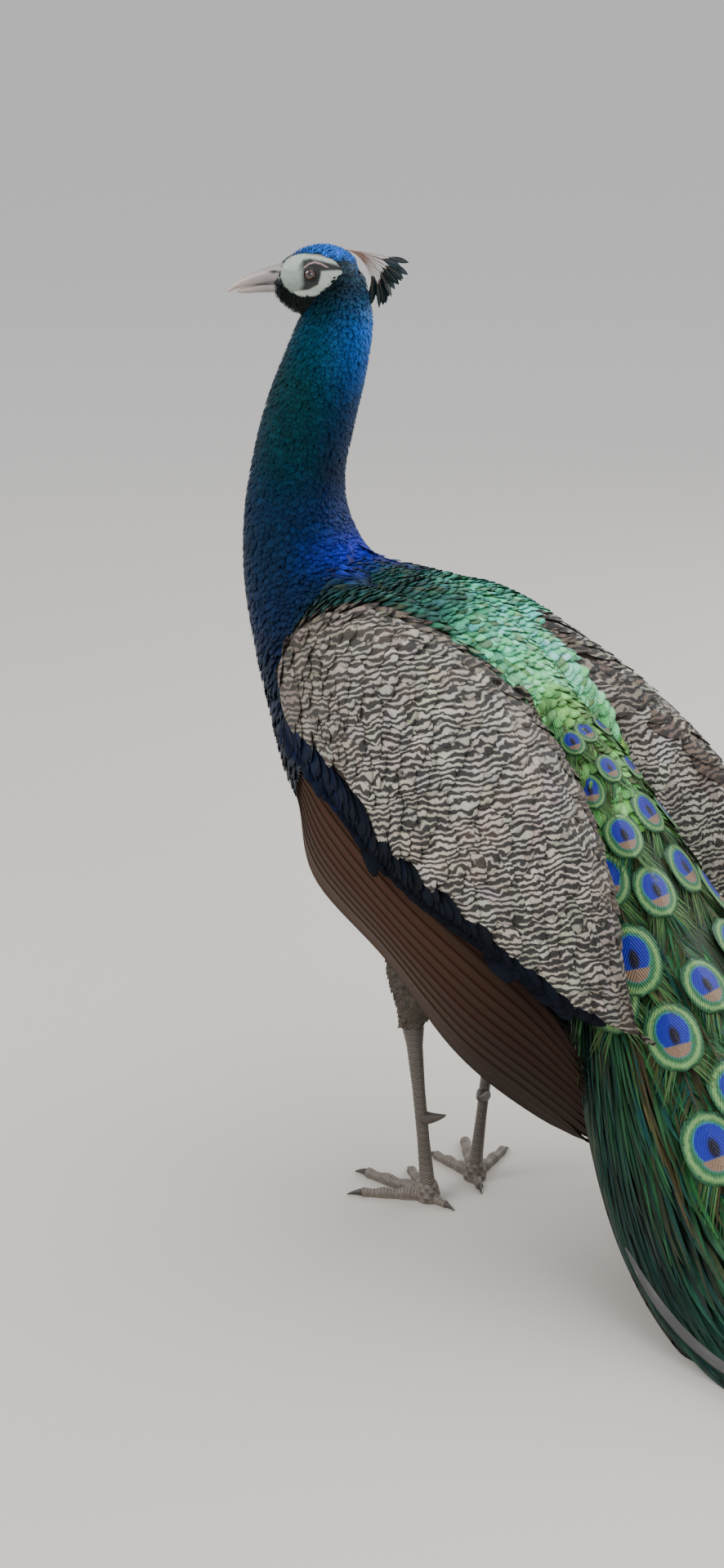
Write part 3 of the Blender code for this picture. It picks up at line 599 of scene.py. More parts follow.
skin_points = np.zeros(len(skin_mesh.vertices) * 3, np.float32)
skin_mesh.vertices.foreach_get("co", skin_points)
skin_points = skin_points.reshape(-1, 3) - SHIFT
wing_row = through((WING_LEFT + WING_RIGHT) / 2, np.interp(skin_points[:, 0], WING_LEFT[:, 0], np.arange(7)))
on_wing = np.clip((np.abs(skin_points[:, 1]) - wing_row[:, 1] + 0.030) / 0.016, 0, 1)
over_thighs = np.clip((skin_points[:, 2] - 0.300) / 0.03, 0, 1)
on_wing = (on_wing * (skin_points[:, 0] > -0.105) * over_thighs)[:, None]
along, turn = spine_place(skin_points)
chin = (along < 0.15) * np.clip((HEAD_AT[2] + 0.002 - skin_points[:, 2]) / 0.006, 0, 1)
# Painted shade: the skin between the feathers is about a third as light as they are, and dark brown under the
# wings; it is darker still at the chin below the bill.
skin_painted_shade = plumage_colour_and_sheen(along, turn) * UNDER_PAINTED_SHADE * (1 - CHIN_SHADE * chin[:, None])
stain(skin_mesh, between(skin_painted_shade, UNDER_WING, on_wing))


def grained(name, low, spread, scale, detail=2.0, ridge=None, **shader):
    """Finish of bare skin and horn: its own stain, lighter and darker by a fine grain, raised by it."""
    finish = Finish(name, **shader)
    grain = finish.noise(finish.place(), scale, detail)
    finish.stained(low + spread * grain)
    if ridge:
        finish.bump(grain, ridge)
    return finish


piece("skin", skin_mesh, grained("skin", 0.7, 0.6, 260, 3.0, 0.0008, roughness=0.75), "blue_plumage",
      "head", "neck_upper", "neck_lower", "trunk",
      "wing_left", "wing_right", "thigh_left", "thigh_right", "vent")

# ------------------------------------------------------------------ Head feathers
# Tiny feathers like curled scales cover the crown and nape, azure on top and
# black-green at the throat. They start at the bill and leave the face bare.
# Each is a thin sheet, rooted in the skin and laid over the one behind it.
FACE_MIDDLE = np.array([0.0088, 0.0000])
FACE_HALF = np.array([0.0292, 0.0190])
FACE_FRONT = 0.90
HEAD_GAP = ((0.0, 0.0017), (3.0, 0.0022), (8.0, 0.0030))  # at a row of the surface, metres
HEAD_LENGTH = ((0.0, 0.0026), (3.0, 0.0036), (8.0, 0.0062))
HEAD_CUT = dict(share=0.75, bend=0.18,
                steps=(0, 0.4, 0.75, 1), columns=3, sink=HEAD_COAT, lift=0.0008, cup=0.0005)
CROWN_BLUE, NAPE_BLUE = (0.016, 0.190, 0.800), (0.012, 0.150, 0.560)
CHEEK_DARK, THROAT_DARK, NAPE_DULL = (0.004, 0.016, 0.022), (0.003, 0.009, 0.009), (0.040, 0.090, 0.140)
LEAST_ACROSS, SMALL_PATCH = 0.010, 0.003
chances = np.random.default_rng(7)


def graded(stations, at):
    """A number that runs between the (place, value) pairs of a list."""
    places, values = np.array(stations).T
    return np.interp(at, places, values)


def staggered(surface, begin, end, low, high, gap_along, gap_across=None, jitter=0.22):
    """Roots of feathers: rows a gap apart along the surface's first parameter, evenly spaced by arc length
    along the second from low to high, each row shifted by half a space, and all moved a little by
    chance."""
    found, row, a = [], 0, begin
    while a < end:
        across = np.linspace(low, high, 61)
        line = surface(np.full(61, a), across)
        reach = np.concatenate([[0], np.cumsum(np.linalg.norm(np.diff(line, axis=0), axis=1))])
        count = max(round(reach[-1] / float(graded(gap_across or gap_along, a))), 1)
        spot = (np.arange(count) + 0.25 + 0.5 * (row % 2) + jitter * chances.uniform(-1, 1, count)) / count
        per_a = np.linalg.norm(surface(a + 0.01, across[30]) - line[30]) / 0.01
        step = float(graded(gap_along, a)) / max(per_a, 1e-4)
        drift = jitter * step * chances.uniform(-1, 1, count)
        found.append(np.stack([a + drift, np.interp(spot * reach[-1], reach, across)], 1))
        a += step
        row += 1
    return np.concatenate(found)


def rounded(s, root=0.35, blunt=2.4, tip=0.10):
    """Half width of a feather at share s of its length: it swells from the quill to a rounded tip."""
    swell = np.minimum(s / root, 1.0) ** 0.6
    close = np.sqrt(np.maximum(1 - np.maximum((s - 0.5) / 0.5, 0) ** blunt, 0))
    return swell * (tip + (1 - tip) * close)


def laid(surface, roots, length, width, steps, columns, sink, lift, cup, lean, out=-1, outline=rounded):
    """Feathers on a surface, as grids of points (feather, share s of length, share u across) and their (u,
    s, chance). A point lies s lengths along the first parameter and u half widths along the second, both
    turned by the lean, and stands over the surface by a height that rises from -sink to lift, less cup
    times u squared."""
    count = len(roots)
    a, b = roots[:, 0, None, None], roots[:, 1, None, None]
    tiny = 1e-3
    here = surface(a, b)
    per_a = np.linalg.norm(surface(a + tiny, b) - here, axis=-1) / tiny
    per_b = np.maximum(np.linalg.norm(surface(a, b + tiny) - here, axis=-1) / tiny, LEAST_ACROSS)
    length, width, sink, lift, lean = (np.broadcast_to(value, count)[:, None, None]
                                       for value in (length, width, sink, lift, lean))
    s = np.asarray(steps, float)[None, :, None]
    u = np.linspace(-1, 1, columns)[None, None, :]
    on = s * length
    off = u * outline(s) * width / 2
    at_a = a + (on * np.cos(lean) - off * np.sin(lean)) / per_a
    at_b = b + (on * np.sin(lean) + off * np.cos(lean)) / per_b
    point = surface(at_a, at_b)
    normal = out * unit(np.cross(surface(at_a + tiny, at_b) - point, surface(at_a, at_b + tiny) - point))
    height = -sink + (lift + sink) * s**0.85 - cup * u**2 * outline(s)
    chance = np.broadcast_to(chances.random(count)[:, None, None], height.shape)
    vane = np.stack([u + 0 * height, s + 0 * height, chance], -1)
    return point + normal * height[..., None], vane


def grown(surface, roots, length, share, bend, lean=0.0, vary=0.15, **cut):
    """Feathers `share` as wide as long on a surface, each length and lean varied a little by chance."""
    size = length * chances.uniform(1 - vary, 1 + vary, len(roots))
    lean = lean + chances.normal(0, bend, len(roots))
    return laid(surface, roots, size, size * share, lean=lean, **cut)


def mesh_with_map(name, points, quads, spots, vane, tint):
    """A mesh of feathers with its unwrap, the place of each point on its feather, and its stain."""
    mesh = mesh_of(name, points, quads)
    spread(mesh, "vane", "FLOAT_VECTOR", vane)
    stain(mesh, tint)
    bake = mesh.uv_layers.new(name="OFBake")
    bake.data.foreach_set("uv", spots[quads.ravel()].astype(np.float32).ravel())
    return mesh


def vane_places(u, s, count):
    """For each point of `count` feathers: its place u across and s along, and the feather's own chance."""
    return np.stack(np.broadcast_arrays(u, s, chances.random((count, 1, 1))), -1)


def coat(name, grids, finish, slot, *replaced):
    """One mesh of many feathers. Each grid is (points, vane, colour of each feather, its place on the
    unwrapped skin), with the size of its patch there if the unwrap has to keep the feather's own
    pattern."""
    all_points, all_quads, all_vanes, all_tints, all_maps, used = [], [], [], [], [], 0
    for points, vane, tint, place, *own_patch in grids:
        patch = own_patch[0] if own_patch else SMALL_PATCH
        count, rows, columns = points.shape[:3]
        all_points.append(points.reshape(-1, 3))
        all_quads.append(grid_quads(count, rows, columns) + used)
        all_vanes.append(vane.reshape(-1, 3))
        if tint.ndim == 2:
            tint = tint[:, None, None]
        all_tints.append(np.broadcast_to(tint, points.shape).reshape(-1, 3))
        spot = np.stack([vane[..., 0] * 0.5 + 0.5, vane[..., 1]], -1) * patch
        all_maps.append((place[:, None, None] * (1 - patch) + spot).reshape(-1, 2))
        used += count * rows * columns
    mesh = mesh_with_map(name, *map(np.concatenate, (all_points, all_quads, all_maps, all_vanes, all_tints)))
    piece(name, mesh, finish, slot, *replaced)


def plumage(name, gloss, roughness, streak, edge, barbs=9, ridge=0.0004, shine=0.5):
    """Finish of plain feathers: the feather's own colour, lighter and darker from one feather to the next,
    streaked by its barbs, dark along the rim by `edge`, and darker near the quill's root as painted shade
    where the feather before lies over it; the barbs stand as fine ridges."""
    finish = Finish(name, metallic=gloss, roughness=roughness, specular_ior_level=shine)
    u, s, chance = finish.split(finish.read("vane"))
    barb = ((abs(u) * 1.6 - s * 2.2) * (barbs * 2.0) + chance * 40).sine()
    grain = finish.noise(finish.join(u * 3.0, s * 1.2, chance * 30), 3.0, 2.0)
    middle = 1 - (abs(u).step(0.62, 1.0) * edge)
    level = (1 + streak * barb) * (0.72 + 0.56 * grain) * (0.78 + 0.44 * chance)
    # Painted shade: each feather is darker towards its root, where the one before lies over it.
    level = level * (0.55 + 0.45 * s.step(0.1, 0.6))
    tip = 1 - s.step(0.80, 1.0) * edge
    finish.stained(level * middle * tip)
    finish.bump(barb, ridge)
    return finish


def varied(colours, amount):
    """Each feather's colour made a little lighter or darker, and its green and blue shifted, by chance."""
    level = chances.normal(1, amount, (len(colours), 1))
    shift = 1 + chances.normal(0, amount * 0.5, (len(colours), 3))
    return np.clip(colours * level * shift, 0.001, 1)


def round_places(roots, rows):
    """Places of feather roots on the unwrap of a round part: once round across, first row to last along."""
    return np.stack([(roots[:, 1] / (2 * np.pi)) % 1.0, np.clip(roots[:, 0] / rows, 0, 1)], 1)


def backwards(a, turn):
    """The head's surface counted from the bill to the nape."""
    return skull(8 - np.asarray(a), turn)


def head_place(points):
    """Forward, out and up of points on the head, in its own turned frame."""
    offset = points - HEAD_AT
    ahead = in_head(1.0, 0.0, 0.0) - HEAD_AT
    leftward = in_head(0.0, 1.0, 0.0) - HEAD_AT
    return offset @ ahead, offset @ leftward, offset[..., 2]


def in_face(forward, up):
    """Under 1 inside the bare face, an oval cut short in front."""
    away = (np.stack([forward, up], -1) - FACE_MIDDLE) / FACE_HALF
    away[..., 0] *= np.where(away[..., 0] > 0, 1 / FACE_FRONT, 1)
    return np.sqrt((away**2).sum(-1))


def head_colour(forward, out, up):
    """Azure crown, blue nape, dark cheek and black-green throat, by place on the head."""
    high = np.clip((up - 0.012) / 0.007, 0, 1)[:, None]
    low = np.clip((0.000 - up) / 0.008, 0, 1)[:, None]
    rear = np.clip((-0.014 - forward) / 0.012, 0, 1)[:, None]
    middle = np.clip(1 - np.abs(out) / 0.012, 0, 1)[:, None]
    side = between(CHEEK_DARK, between(NAPE_DULL, NAPE_BLUE, middle), rear)
    below = between(THROAT_DARK, NAPE_DULL, rear * middle)
    return varied(between(between(side, CROWN_BLUE, high), below, low), 0.14)


root_places = staggered(backwards, 0.04, 7.6, 0.0, 2 * np.pi, HEAD_GAP)
forward, out, up = head_place(backwards(root_places[:, 0], root_places[:, 1]))
keep = (in_face(forward, up) > 1.0) & (forward < np.where(up < -0.008, 0.041, 0.036 - 0.1 * np.abs(up)))
root_places, forward, out, up = root_places[keep], forward[keep], out[keep], up[keep]
points, vanes = grown(backwards, root_places, graded(HEAD_LENGTH, root_places[:, 0]), **HEAD_CUT)
coat("head_coat", [(points, vanes, head_colour(forward, out, up), round_places(root_places, 8))],
     plumage("head plumage", 0.35, 0.42, 0.10, 0.35, barbs=4, ridge=0.0002), "blue_plumage")

# ------------------------------------------------------------------ Face
# Bare wrinkled skin, greenish white above the eye and in a crescent behind
# and below it, grey between bill and eye, with a thin pink lid round the eye.
# It is one sheet a side, laid on the skull and drawn up over the eyeball.
LID_HALF = np.array([0.0052, 0.0044])
LID_THICK = 0.0007
FACE_RINGS, FACE_SPOKES = 44, 128
FACE_SKIN, LID_RIDGE, RIM_SUNK = 0.0011, 0.0005, 0.0012
FACE_FOLDS = (  # height, place and half size upwards, place and half size forwards, from the eye
    (0.0010, 0.0085, 0.0022, 0.0, 0.012),
    (0.0009, -0.0105, 0.0035, -0.002, 0.014),
)
WHITE_SKIN, GREY_SKIN, DARK_SKIN = (0.540, 0.620, 0.540), (0.300, 0.360, 0.310), (0.018, 0.022, 0.022)
PINK_LID = (0.430, 0.300, 0.290)
FACE_PATCHES = (  # colour, softness, and corners in millimetres forward and up from the eye
    (GREY_SKIN, 4.0, ((7, 4), (16, 4), (32, 4), (32, -14), (19, -16), (9, -15), (6, -8))),
    ((0.40, 0.48, 0.41), 7.0, ((8, 8), (30, 8), (30, -5), (14, -7), (9, -3))),
    (WHITE_SKIN, 2.2, ((-30, 4.5), (-22, 8), (-11, 11), (0, 13), (6, 11.7), (9, 8), (11, 3.5), (18, 3),
                       (24, 3.5), (26, 7), (15, 15.2), (7, 16.5), (-7.5, 15.6), (-22, 11.5), (-28, 7))),
    (WHITE_SKIN, 1.6, ((-29, 3.2), (-27, -5), (-17, -13), (-4, -18.6), (8.6, -20), (17.5, -17), (14, -15),
                       (1.4, -13.2), (-7, -8.8), (-9.2, -1), (-9.6, 2.6), (-16, 3.2))),
)
FACE_LINES = (
    (PINK_LID, 0.7, ((-15, 5.6), (-10, 8.6), (-4, 10.2), (1, 8.6), (5, 5.6))),
    (DARK_SKIN, 0.5, ((-10, 5.2), (-20, 5.0), (-29, 3.6))),
)


def cheek(forward, up):
    """How far out the skull is at a place on the head's side: the ellipse of the row of SKULL there."""
    ahead, axis, wide, above, below = np.moveaxis(
        through(SKULL, np.interp(forward, SKULL[:, 0], np.arange(len(SKULL)))), -1, 0)
    deep = np.where(up > axis, above, below) - HEAD_COAT
    return (wide - HEAD_COAT) * np.sqrt(np.clip(1 - ((up - axis) / deep) ** 2, 0.0, 1))


def soft_most(first, second, reach):
    """The greater of two heights, rounded where they meet."""
    return reach * np.logaddexp(first / reach, second / reach)


spoke = np.linspace(0, 2 * np.pi, FACE_SPOKES, endpoint=False)
ray = np.stack([np.cos(spoke), np.sin(spoke)], -1)
eye_spot = np.array([EYE_FORWARD, EYE_UP])
lid = eye_spot + ray * LID_HALF
rim = FACE_MIDDLE + 1.02 * ray * FACE_HALF * np.where(ray > 0, (FACE_FRONT, 1), 1)
share = np.linspace(0, 1, FACE_RINGS)[:, None, None] ** 1.15
spots = lid * (1 - share) + rim * share
face_forward, face_up = spots[..., 0], spots[..., 1]
reach = np.linalg.norm((spots - eye_spot) / [1.0, 0.92], axis=-1)
ball = EYE_RADIUS + LID_THICK
lid_height = EYE_OUT + np.sqrt(np.maximum(ball**2 - reach**2, 0)) - 4 * np.maximum(reach - ball, 0)
flesh = cheek(face_forward, face_up) + FACE_SKIN * np.clip((1 - share[..., 0]) * 9, 0, 1)
face_out = soft_most(flesh, lid_height, 0.0005) + LID_RIDGE * np.exp(-((share[..., 0] - 0.03) / 0.03) ** 2)
past_eye, over_eye = face_forward - EYE_FORWARD, face_up - EYE_UP
for height, up_at, up_half, forward_at, forward_half in FACE_FOLDS:
    off_fold = ((over_eye - up_at) / up_half) ** 2 + ((past_eye - forward_at) / forward_half) ** 2
    face_out = face_out + height * np.exp(-off_fold)
face_out[-1] -= RIM_SUNK
spot_mm = np.stack([past_eye, over_eye], -1) * 1000


def near_line(corners, closed):
    """Millimetres from each spot of the face to a line of corners, and whether the spot is inside it."""
    here = np.array(corners, float)
    there = np.roll(here, -1, 0)
    if not closed:
        here, there = here[:-1], there[:-1]
    gap = spot_mm[..., None, :] - here
    run = there - here
    share = np.clip((gap * run).sum(-1) / (run**2).sum(-1), 0, 1)
    away = np.linalg.norm(gap - share[..., None] * run, axis=-1).min(-1)
    crossed = (here[:, 1] > spot_mm[..., 1:]) != (there[:, 1] > spot_mm[..., 1:])
    rise = np.where(run[:, 1] == 0, 1, run[:, 1])
    left_of = spot_mm[..., :1] < here[:, 0] + run[:, 0] * (spot_mm[..., 1:] - here[:, 1]) / rise
    return away, (crossed & left_of).sum(-1) % 2 == 1


face_tint = np.array(DARK_SKIN) * np.ones(spot_mm.shape[:2] + (1,))
for colour, soft, corners in FACE_PATCHES:
    away, within = near_line(corners, True)
    amount = np.clip(np.where(within, away, -away) / soft + 0.5, 0, 1)[..., None]
    face_tint = between(face_tint, colour, amount)
for colour, half, corners in FACE_LINES:
    amount = np.clip((half - near_line(corners, False)[0]) / 0.5 + 0.5, 0, 1)[..., None]
    face_tint = between(face_tint, colour, amount)

face_finish = Finish("bare face", roughness=0.55, subsurface_weight=0.15, subsurface_scale=0.002)
face_cells = face_finish.node("ShaderNodeTexVoronoi", {"feature": "DISTANCE_TO_EDGE"},
                              {"Vector": face_finish.place(), "Scale": 900.0})
face_fold = face_finish.noise(face_finish.place(), 320, 3.0)
# The grooves between the wrinkle cells are painted darker: painted shade in the creases.
face_finish.stained((0.80 + 0.34 * face_fold) * (0.82 + 0.18 * face_cells.step(0.0, 0.12)))
face_finish.bump(face_cells.step(0.0, 0.2) + 2 * face_fold, 0.0004)
for side, name in ((1, "face_left"), (-1, "face_right")):
    face_points = in_head(face_forward, side * face_out, face_up)
    face_quads = grid_quads(1, FACE_RINGS, FACE_SPOKES, closed=True)[:, ::side]
    face_mesh = mesh_of(name, face_points.reshape(-1, 3), face_quads)
    stain(face_mesh, face_tint.reshape(-1, 3))
    piece(name, face_mesh, face_finish, "grey_down")

# ------------------------------------------------------------------ Eyes
# A dark brown iris round a black pupil under a clear wet cornea. The ball is
# turned outwards, and its cornea stands a little proud.
IRIS_HALF, PUPIL_HALF, CORNEA_SWELL, CORNEA_TURN = 0.0049, 0.0023, 0.05, 0.7
BALL_RINGS, BALL_SIDES, IRIS_BROWN = 33, 48, (0.070, 0.026, 0.010)
eye_finish = grained("eye", 0.75, 0.5, 1500, roughness=0.08, coat_weight=1.0, coat_roughness=0.03,
                     specular_ior_level=0.6)
polar = np.linspace(0, np.pi, BALL_RINGS)[:, None]
round_turn = np.linspace(0, 2 * np.pi, BALL_SIDES, endpoint=False)
ball_out = np.cos(polar) + 0 * round_turn
ball_side = np.sin(polar) * np.cos(round_turn)
ball_up = np.sin(polar) * np.sin(round_turn)
wet = 1 + CORNEA_SWELL * np.exp(-(polar / CORNEA_TURN) ** 2)
from_middle = np.sin(polar) * EYE_RADIUS + (polar > 1.2) * 1.0
iris_share = np.clip((from_middle - PUPIL_HALF) / (IRIS_HALF - PUPIL_HALF), 0, 1)
eye_tint = (np.where(from_middle < PUPIL_HALF, 0.02, 1 - 0.7 * iris_share)[..., None] * np.array(IRIS_BROWN)
            * np.ones((BALL_RINGS, BALL_SIDES, 1)))
grid = EYE_RADIUS * wet[..., None] * np.stack([ball_side, ball_out, ball_up], -1)
for side, name in ((1, "left"), (-1, "right")):
    eye_points = in_head(EYE_FORWARD + grid[..., 0], side * (EYE_OUT + grid[..., 1]), EYE_UP + grid[..., 2])
    eye_mesh = mesh_of("eyeball_" + name, eye_points.reshape(-1, 3),
                       grid_quads(1, BALL_RINGS, BALL_SIDES, closed=True)[:, ::-side])
    stain(eye_mesh, eye_tint.reshape(-1, 3))
    piece("eyeball_" + name, eye_mesh, eye_finish, "eye", "eye_" + name)

# ------------------------------------------------------------------ Bill
# Two horny sheaths, the upper hooked over the lower, pinkish grey and worn
# pale at the tip, with a slit nostril each side near the feathers. A pale band on
# the upper sheath is a painted highlight, and the nostril's near-black is painted shade.
def ends_closed(tube):
    """A tube whose first and last rings are drawn together on their middle points."""
    tube[0], tube[-1] = tube[0].mean(0), tube[-1].mean(0)
    return tube


BILL_UPPER = np.array([  # forward, axis height, half width, depth above, below
    (0.024, 0.0020, 0.0096, 0.0088, 0.0092),
    (0.030, 0.0015, 0.0086, 0.0084, 0.0088),
    (0.040, 0.0000, 0.0074, 0.0074, 0.0078),
    (0.052, -0.0025, 0.0058, 0.0058, 0.0066),
    (0.064, -0.0062, 0.0040, 0.0044, 0.0048),
    (0.073, -0.0105, 0.0024, 0.0030, 0.0030),
    (0.079, -0.0152, 0.0009, 0.0010, 0.0010),
])
BILL_LOWER = np.array([
    (0.022, -0.0108, 0.0084, 0.0030, 0.0054),
    (0.028, -0.0108, 0.0078, 0.0030, 0.0050),
    (0.040, -0.0112, 0.0066, 0.0030, 0.0049),
    (0.052, -0.0120, 0.0051, 0.0028, 0.0043),
    (0.064, -0.0138, 0.0031, 0.0022, 0.0030),
    (0.071, -0.0150, 0.0011, 0.0011, 0.0011),
])
NOSTRIL_AT, NOSTRIL_HALF = (0.0385, 0.0022), (0.0040, 0.0011)
BILL_RINGS, BILL_SIDES = 72, 48
HORN_GREY, HORN_WORN, RIDGE_HIGHLIGHT = (0.270, 0.250, 0.240), (0.430, 0.350, 0.315), (0.10, 0.085, 0.08)
bill_finish = Finish("horn", roughness=0.38, coat_weight=0.15, coat_roughness=0.3)
horn_grain = bill_finish.drawn_out(90.0, 90.0, 500.0)
bill_finish.stained(0.78 + 0.44 * horn_grain)
bill_finish.bump(horn_grain, 0.0003)
for name, table in (("bill_upper", BILL_UPPER), ("bill_lower", BILL_LOWER)):
    upper = name == "bill_upper"
    row = through(table, np.linspace(0, len(table) - 1, BILL_RINGS))[:, None]
    ring = np.linspace(0, 2 * np.pi, BILL_SIDES, endpoint=False)
    deep = np.where(np.cos(ring) > 0, row[..., 3], row[..., 4])
    pinch = 1 - 0.28 * np.clip(np.cos(ring) * (1 if upper else -1), 0, 1) ** 2
    bill_up = row[..., 1] + deep * np.sign(np.cos(ring)) * np.abs(np.cos(ring)) ** 0.85
    bill_out = row[..., 2] * pinch * np.sin(ring)
    bill_forward = row[..., 0] + 0 * ring
    pit = np.exp(-(((bill_forward - NOSTRIL_AT[0]) / NOSTRIL_HALF[0]) ** 2
                   + ((bill_up - NOSTRIL_AT[1]) / NOSTRIL_HALF[1]) ** 2)) * upper
    bill_out = bill_out * (1 - 0.30 * pit)
    worn = np.clip((bill_forward - 0.045) / 0.03, 0, 1)[..., None]
    # A painted highlight: a pale band along each side of the upper sheath's ridge.
    on_highlight = np.exp(-((np.cos(ring) - 0.35) / 0.22) ** 2)[None, :, None] * upper
    bill_tint = between(HORN_GREY, HORN_WORN, worn) + np.array(RIDGE_HIGHLIGHT) * on_highlight
    # Painted shade: the nostril slit is made nearly black.
    bill_tint = bill_tint * (1 - 0.92 * np.clip(pit * 1.6, 0, 1)[..., None])
    bill_points = ends_closed(in_head(bill_forward, bill_out, bill_up))
    bill_mesh = mesh_of("horn_" + name, bill_points.reshape(-1, 3),
                        grid_quads(1, BILL_RINGS, BILL_SIDES, closed=True))
    stain(bill_mesh, bill_tint.reshape(-1, 3))
    piece("horn_" + name, bill_mesh, bill_finish, "horn", name)

# ------------------------------------------------------------------ Crest
# A comb of bare shafts stands from the back of the crown and droops behind
# it, pinkish where it leaves the head. Each shaft ends in a small blue-green fan.
CREST_ROOT = np.array([-0.022, 0.0205])
CREST_START, CREST_FIRST, CREST_LAST = (math.radians(angle) for angle in (-6, -12, -68))
CREST_LENGTH, CREST_SHAFTS, SHAFT_HALF, COMB_HALF = 0.056, 18, 0.00032, 0.0045
FAN_FROM, FAN_TO, FAN_HALF = 0.70, 1.06, 0.0032
SHAFT_PINK, SHAFT_BROWN, FAN_DARK = (0.34, 0.20, 0.15), (0.10, 0.075, 0.06), (0.012, 0.040, 0.052)


def crest_line(turn, reach):
    """Along a drooping shaft: it leaves the crown almost level and bends steadily to its own turn."""
    bend = CREST_START + (turn - CREST_START) * reach**0.8
    return CREST_ROOT + (reach * CREST_LENGTH)[..., None] * np.stack([-np.cos(bend), np.sin(bend)], -1)


shaft_turns = np.linspace(CREST_FIRST, CREST_LAST, CREST_SHAFTS)[:, None]
shaft_turns = shaft_turns + chances.normal(0, 0.02, (CREST_SHAFTS, 1))
shaft_out = np.linspace(-1, 1, CREST_SHAFTS)[chances.permutation(CREST_SHAFTS)][:, None] * COMB_HALF
longer = chances.uniform(0.80, 1.0, (CREST_SHAFTS, 1))
shares = np.linspace(0, 1, 16)[None]
line = crest_line(shaft_turns, shares * longer)
run = unit(crest_line(shaft_turns, (shares + 0.01) * longer) - line)
cross_line = np.stack([-run[..., 1], run[..., 0]], -1)
out_line = shaft_out * shares**0.8
around = np.linspace(0, 2 * np.pi, 6, endpoint=False)
thin = (SHAFT_HALF * (1.15 - 0.6 * shares))[..., None]
shaft_forward = line[..., 0, None] + cross_line[..., 0, None] * thin * np.cos(around)
shaft_up = line[..., 1, None] + cross_line[..., 1, None] * thin * np.cos(around)
shaft_points = in_head(shaft_forward, out_line[..., None] + thin * np.sin(around), shaft_up)
shaft_mesh = mesh_of("crest_shafts", shaft_points.reshape(-1, 3),
                     grid_quads(*shaft_points.shape[:3], closed=True))
shaft_fade = np.broadcast_to(shares[..., None, None], shaft_points.shape[:3] + (1,))
stain(shaft_mesh, between(SHAFT_PINK, SHAFT_BROWN, shaft_fade).reshape(-1, 3))
piece("crest_shafts", shaft_mesh, grained("crest shaft", 0.8, 0.4, 900, roughness=0.45), "horn", "crest")

fan_shares = np.linspace(0, 1, 8)
fan_reach = (FAN_FROM + (FAN_TO - FAN_FROM) * fan_shares)[None]
fan_line = crest_line(shaft_turns, fan_reach * longer)
fan_run = unit(crest_line(shaft_turns, (fan_reach + 0.01) * longer) - fan_line)
fan_u = np.linspace(-1, 1, 7)
fan_wide = FAN_HALF * np.sin(np.pi * (0.04 + 0.93 * fan_shares) ** 1.3)[None, :, None] * fan_u
tilt = chances.uniform(-0.9, 0.9, (CREST_SHAFTS, 1, 1))
fan_forward = fan_line[..., 0, None] - fan_run[..., 1, None] * fan_wide * np.cos(tilt)
fan_up = fan_line[..., 1, None] + fan_run[..., 0, None] * fan_wide * np.cos(tilt)
fan_spread = ((FAN_FROM + 0.3 * fan_shares) ** 0.8)[None, :, None]
fan_out = shaft_out[..., None] * fan_spread + fan_wide * np.sin(tilt)
fan_points = in_head(fan_forward, fan_out, fan_up)
fan_vane = vane_places(fan_u, fan_shares[:, None], CREST_SHAFTS)
fan_colour = np.array([FAN_DARK]) * chances.uniform(0.6, 1.3, (CREST_SHAFTS, 1))
fan_place = np.stack([np.linspace(0, 1, CREST_SHAFTS), np.full(CREST_SHAFTS, 0.5)], 1)
coat("crest_fans", [(fan_points, fan_vane, fan_colour, fan_place, 0.03)],
     plumage("crest fans", 0.3, 0.45, 0.25, 0.2), "blue_plumage")

# ------------------------------------------------------------------ Neck and breast
# Hair-like feathers, small at the throat and longer down the neck, silky blue
# with green where they turn to the light, that green and a bright azure down
# the nape painted in as sheen, then broader and darker on the breast and belly.
# Rows run round the neck and overlap like fringes.
NECK_GAP = ((0.0, 0.0030), (3.0, 0.0040), (6.5, 0.0056))
NECK_LENGTH = ((0.0, 0.0080), (3.0, 0.0110), (6.5, 0.0160))
BREAST_GAP = ((6.0, 0.0060), (8.0, 0.0085), (14.0, 0.0080))
BREAST_LENGTH = ((6.0, 0.0170), (8.0, 0.0250), (14.0, 0.0240))
BREAST_FROM = 0.9
NECK_CUT = dict(share=0.46, bend=0.10,
                steps=(0, 0.35, 0.65, 0.88, 1), columns=3, sink=0.0024, lift=0.0007, cup=0.0005)
BREAST_CUT = dict(share=0.62, bend=0.10,
                  steps=(0, 0.3, 0.55, 0.78, 0.93, 1), columns=5, sink=0.0050, lift=0.0014, cup=0.0012)


def coloured_by_place(roots, lengths, cut, amount):
    """A grid for `coat` of feathers on neck and trunk, each of the colour of its place."""
    points, vanes = grown(body, roots, graded(lengths, roots[:, 0]), **cut)
    tint = varied(plumage_colour_and_sheen(roots[:, 0], roots[:, 1]), amount)
    return points, vanes, tint, round_places(roots, 14)


roots = staggered(body, -0.15, 6.6, 0.0, 2 * np.pi, NECK_GAP)
coat("neck_coat", [coloured_by_place(roots, NECK_LENGTH, NECK_CUT, 0.06)],
     plumage("neck plumage", 0.50, 0.38, 0.10, 0.14, barbs=5, shine=0.2), "blue_plumage")
roots = staggered(body, 6.45, 13.6, BREAST_FROM, 2 * np.pi - BREAST_FROM, BREAST_GAP)
coat("breast_coat", [coloured_by_place(roots, BREAST_LENGTH, BREAST_CUT, 0.12)],
     plumage("breast plumage", 0.34, 0.46, 0.12, 0.30, barbs=7, shine=0.2), "blue_plumage")

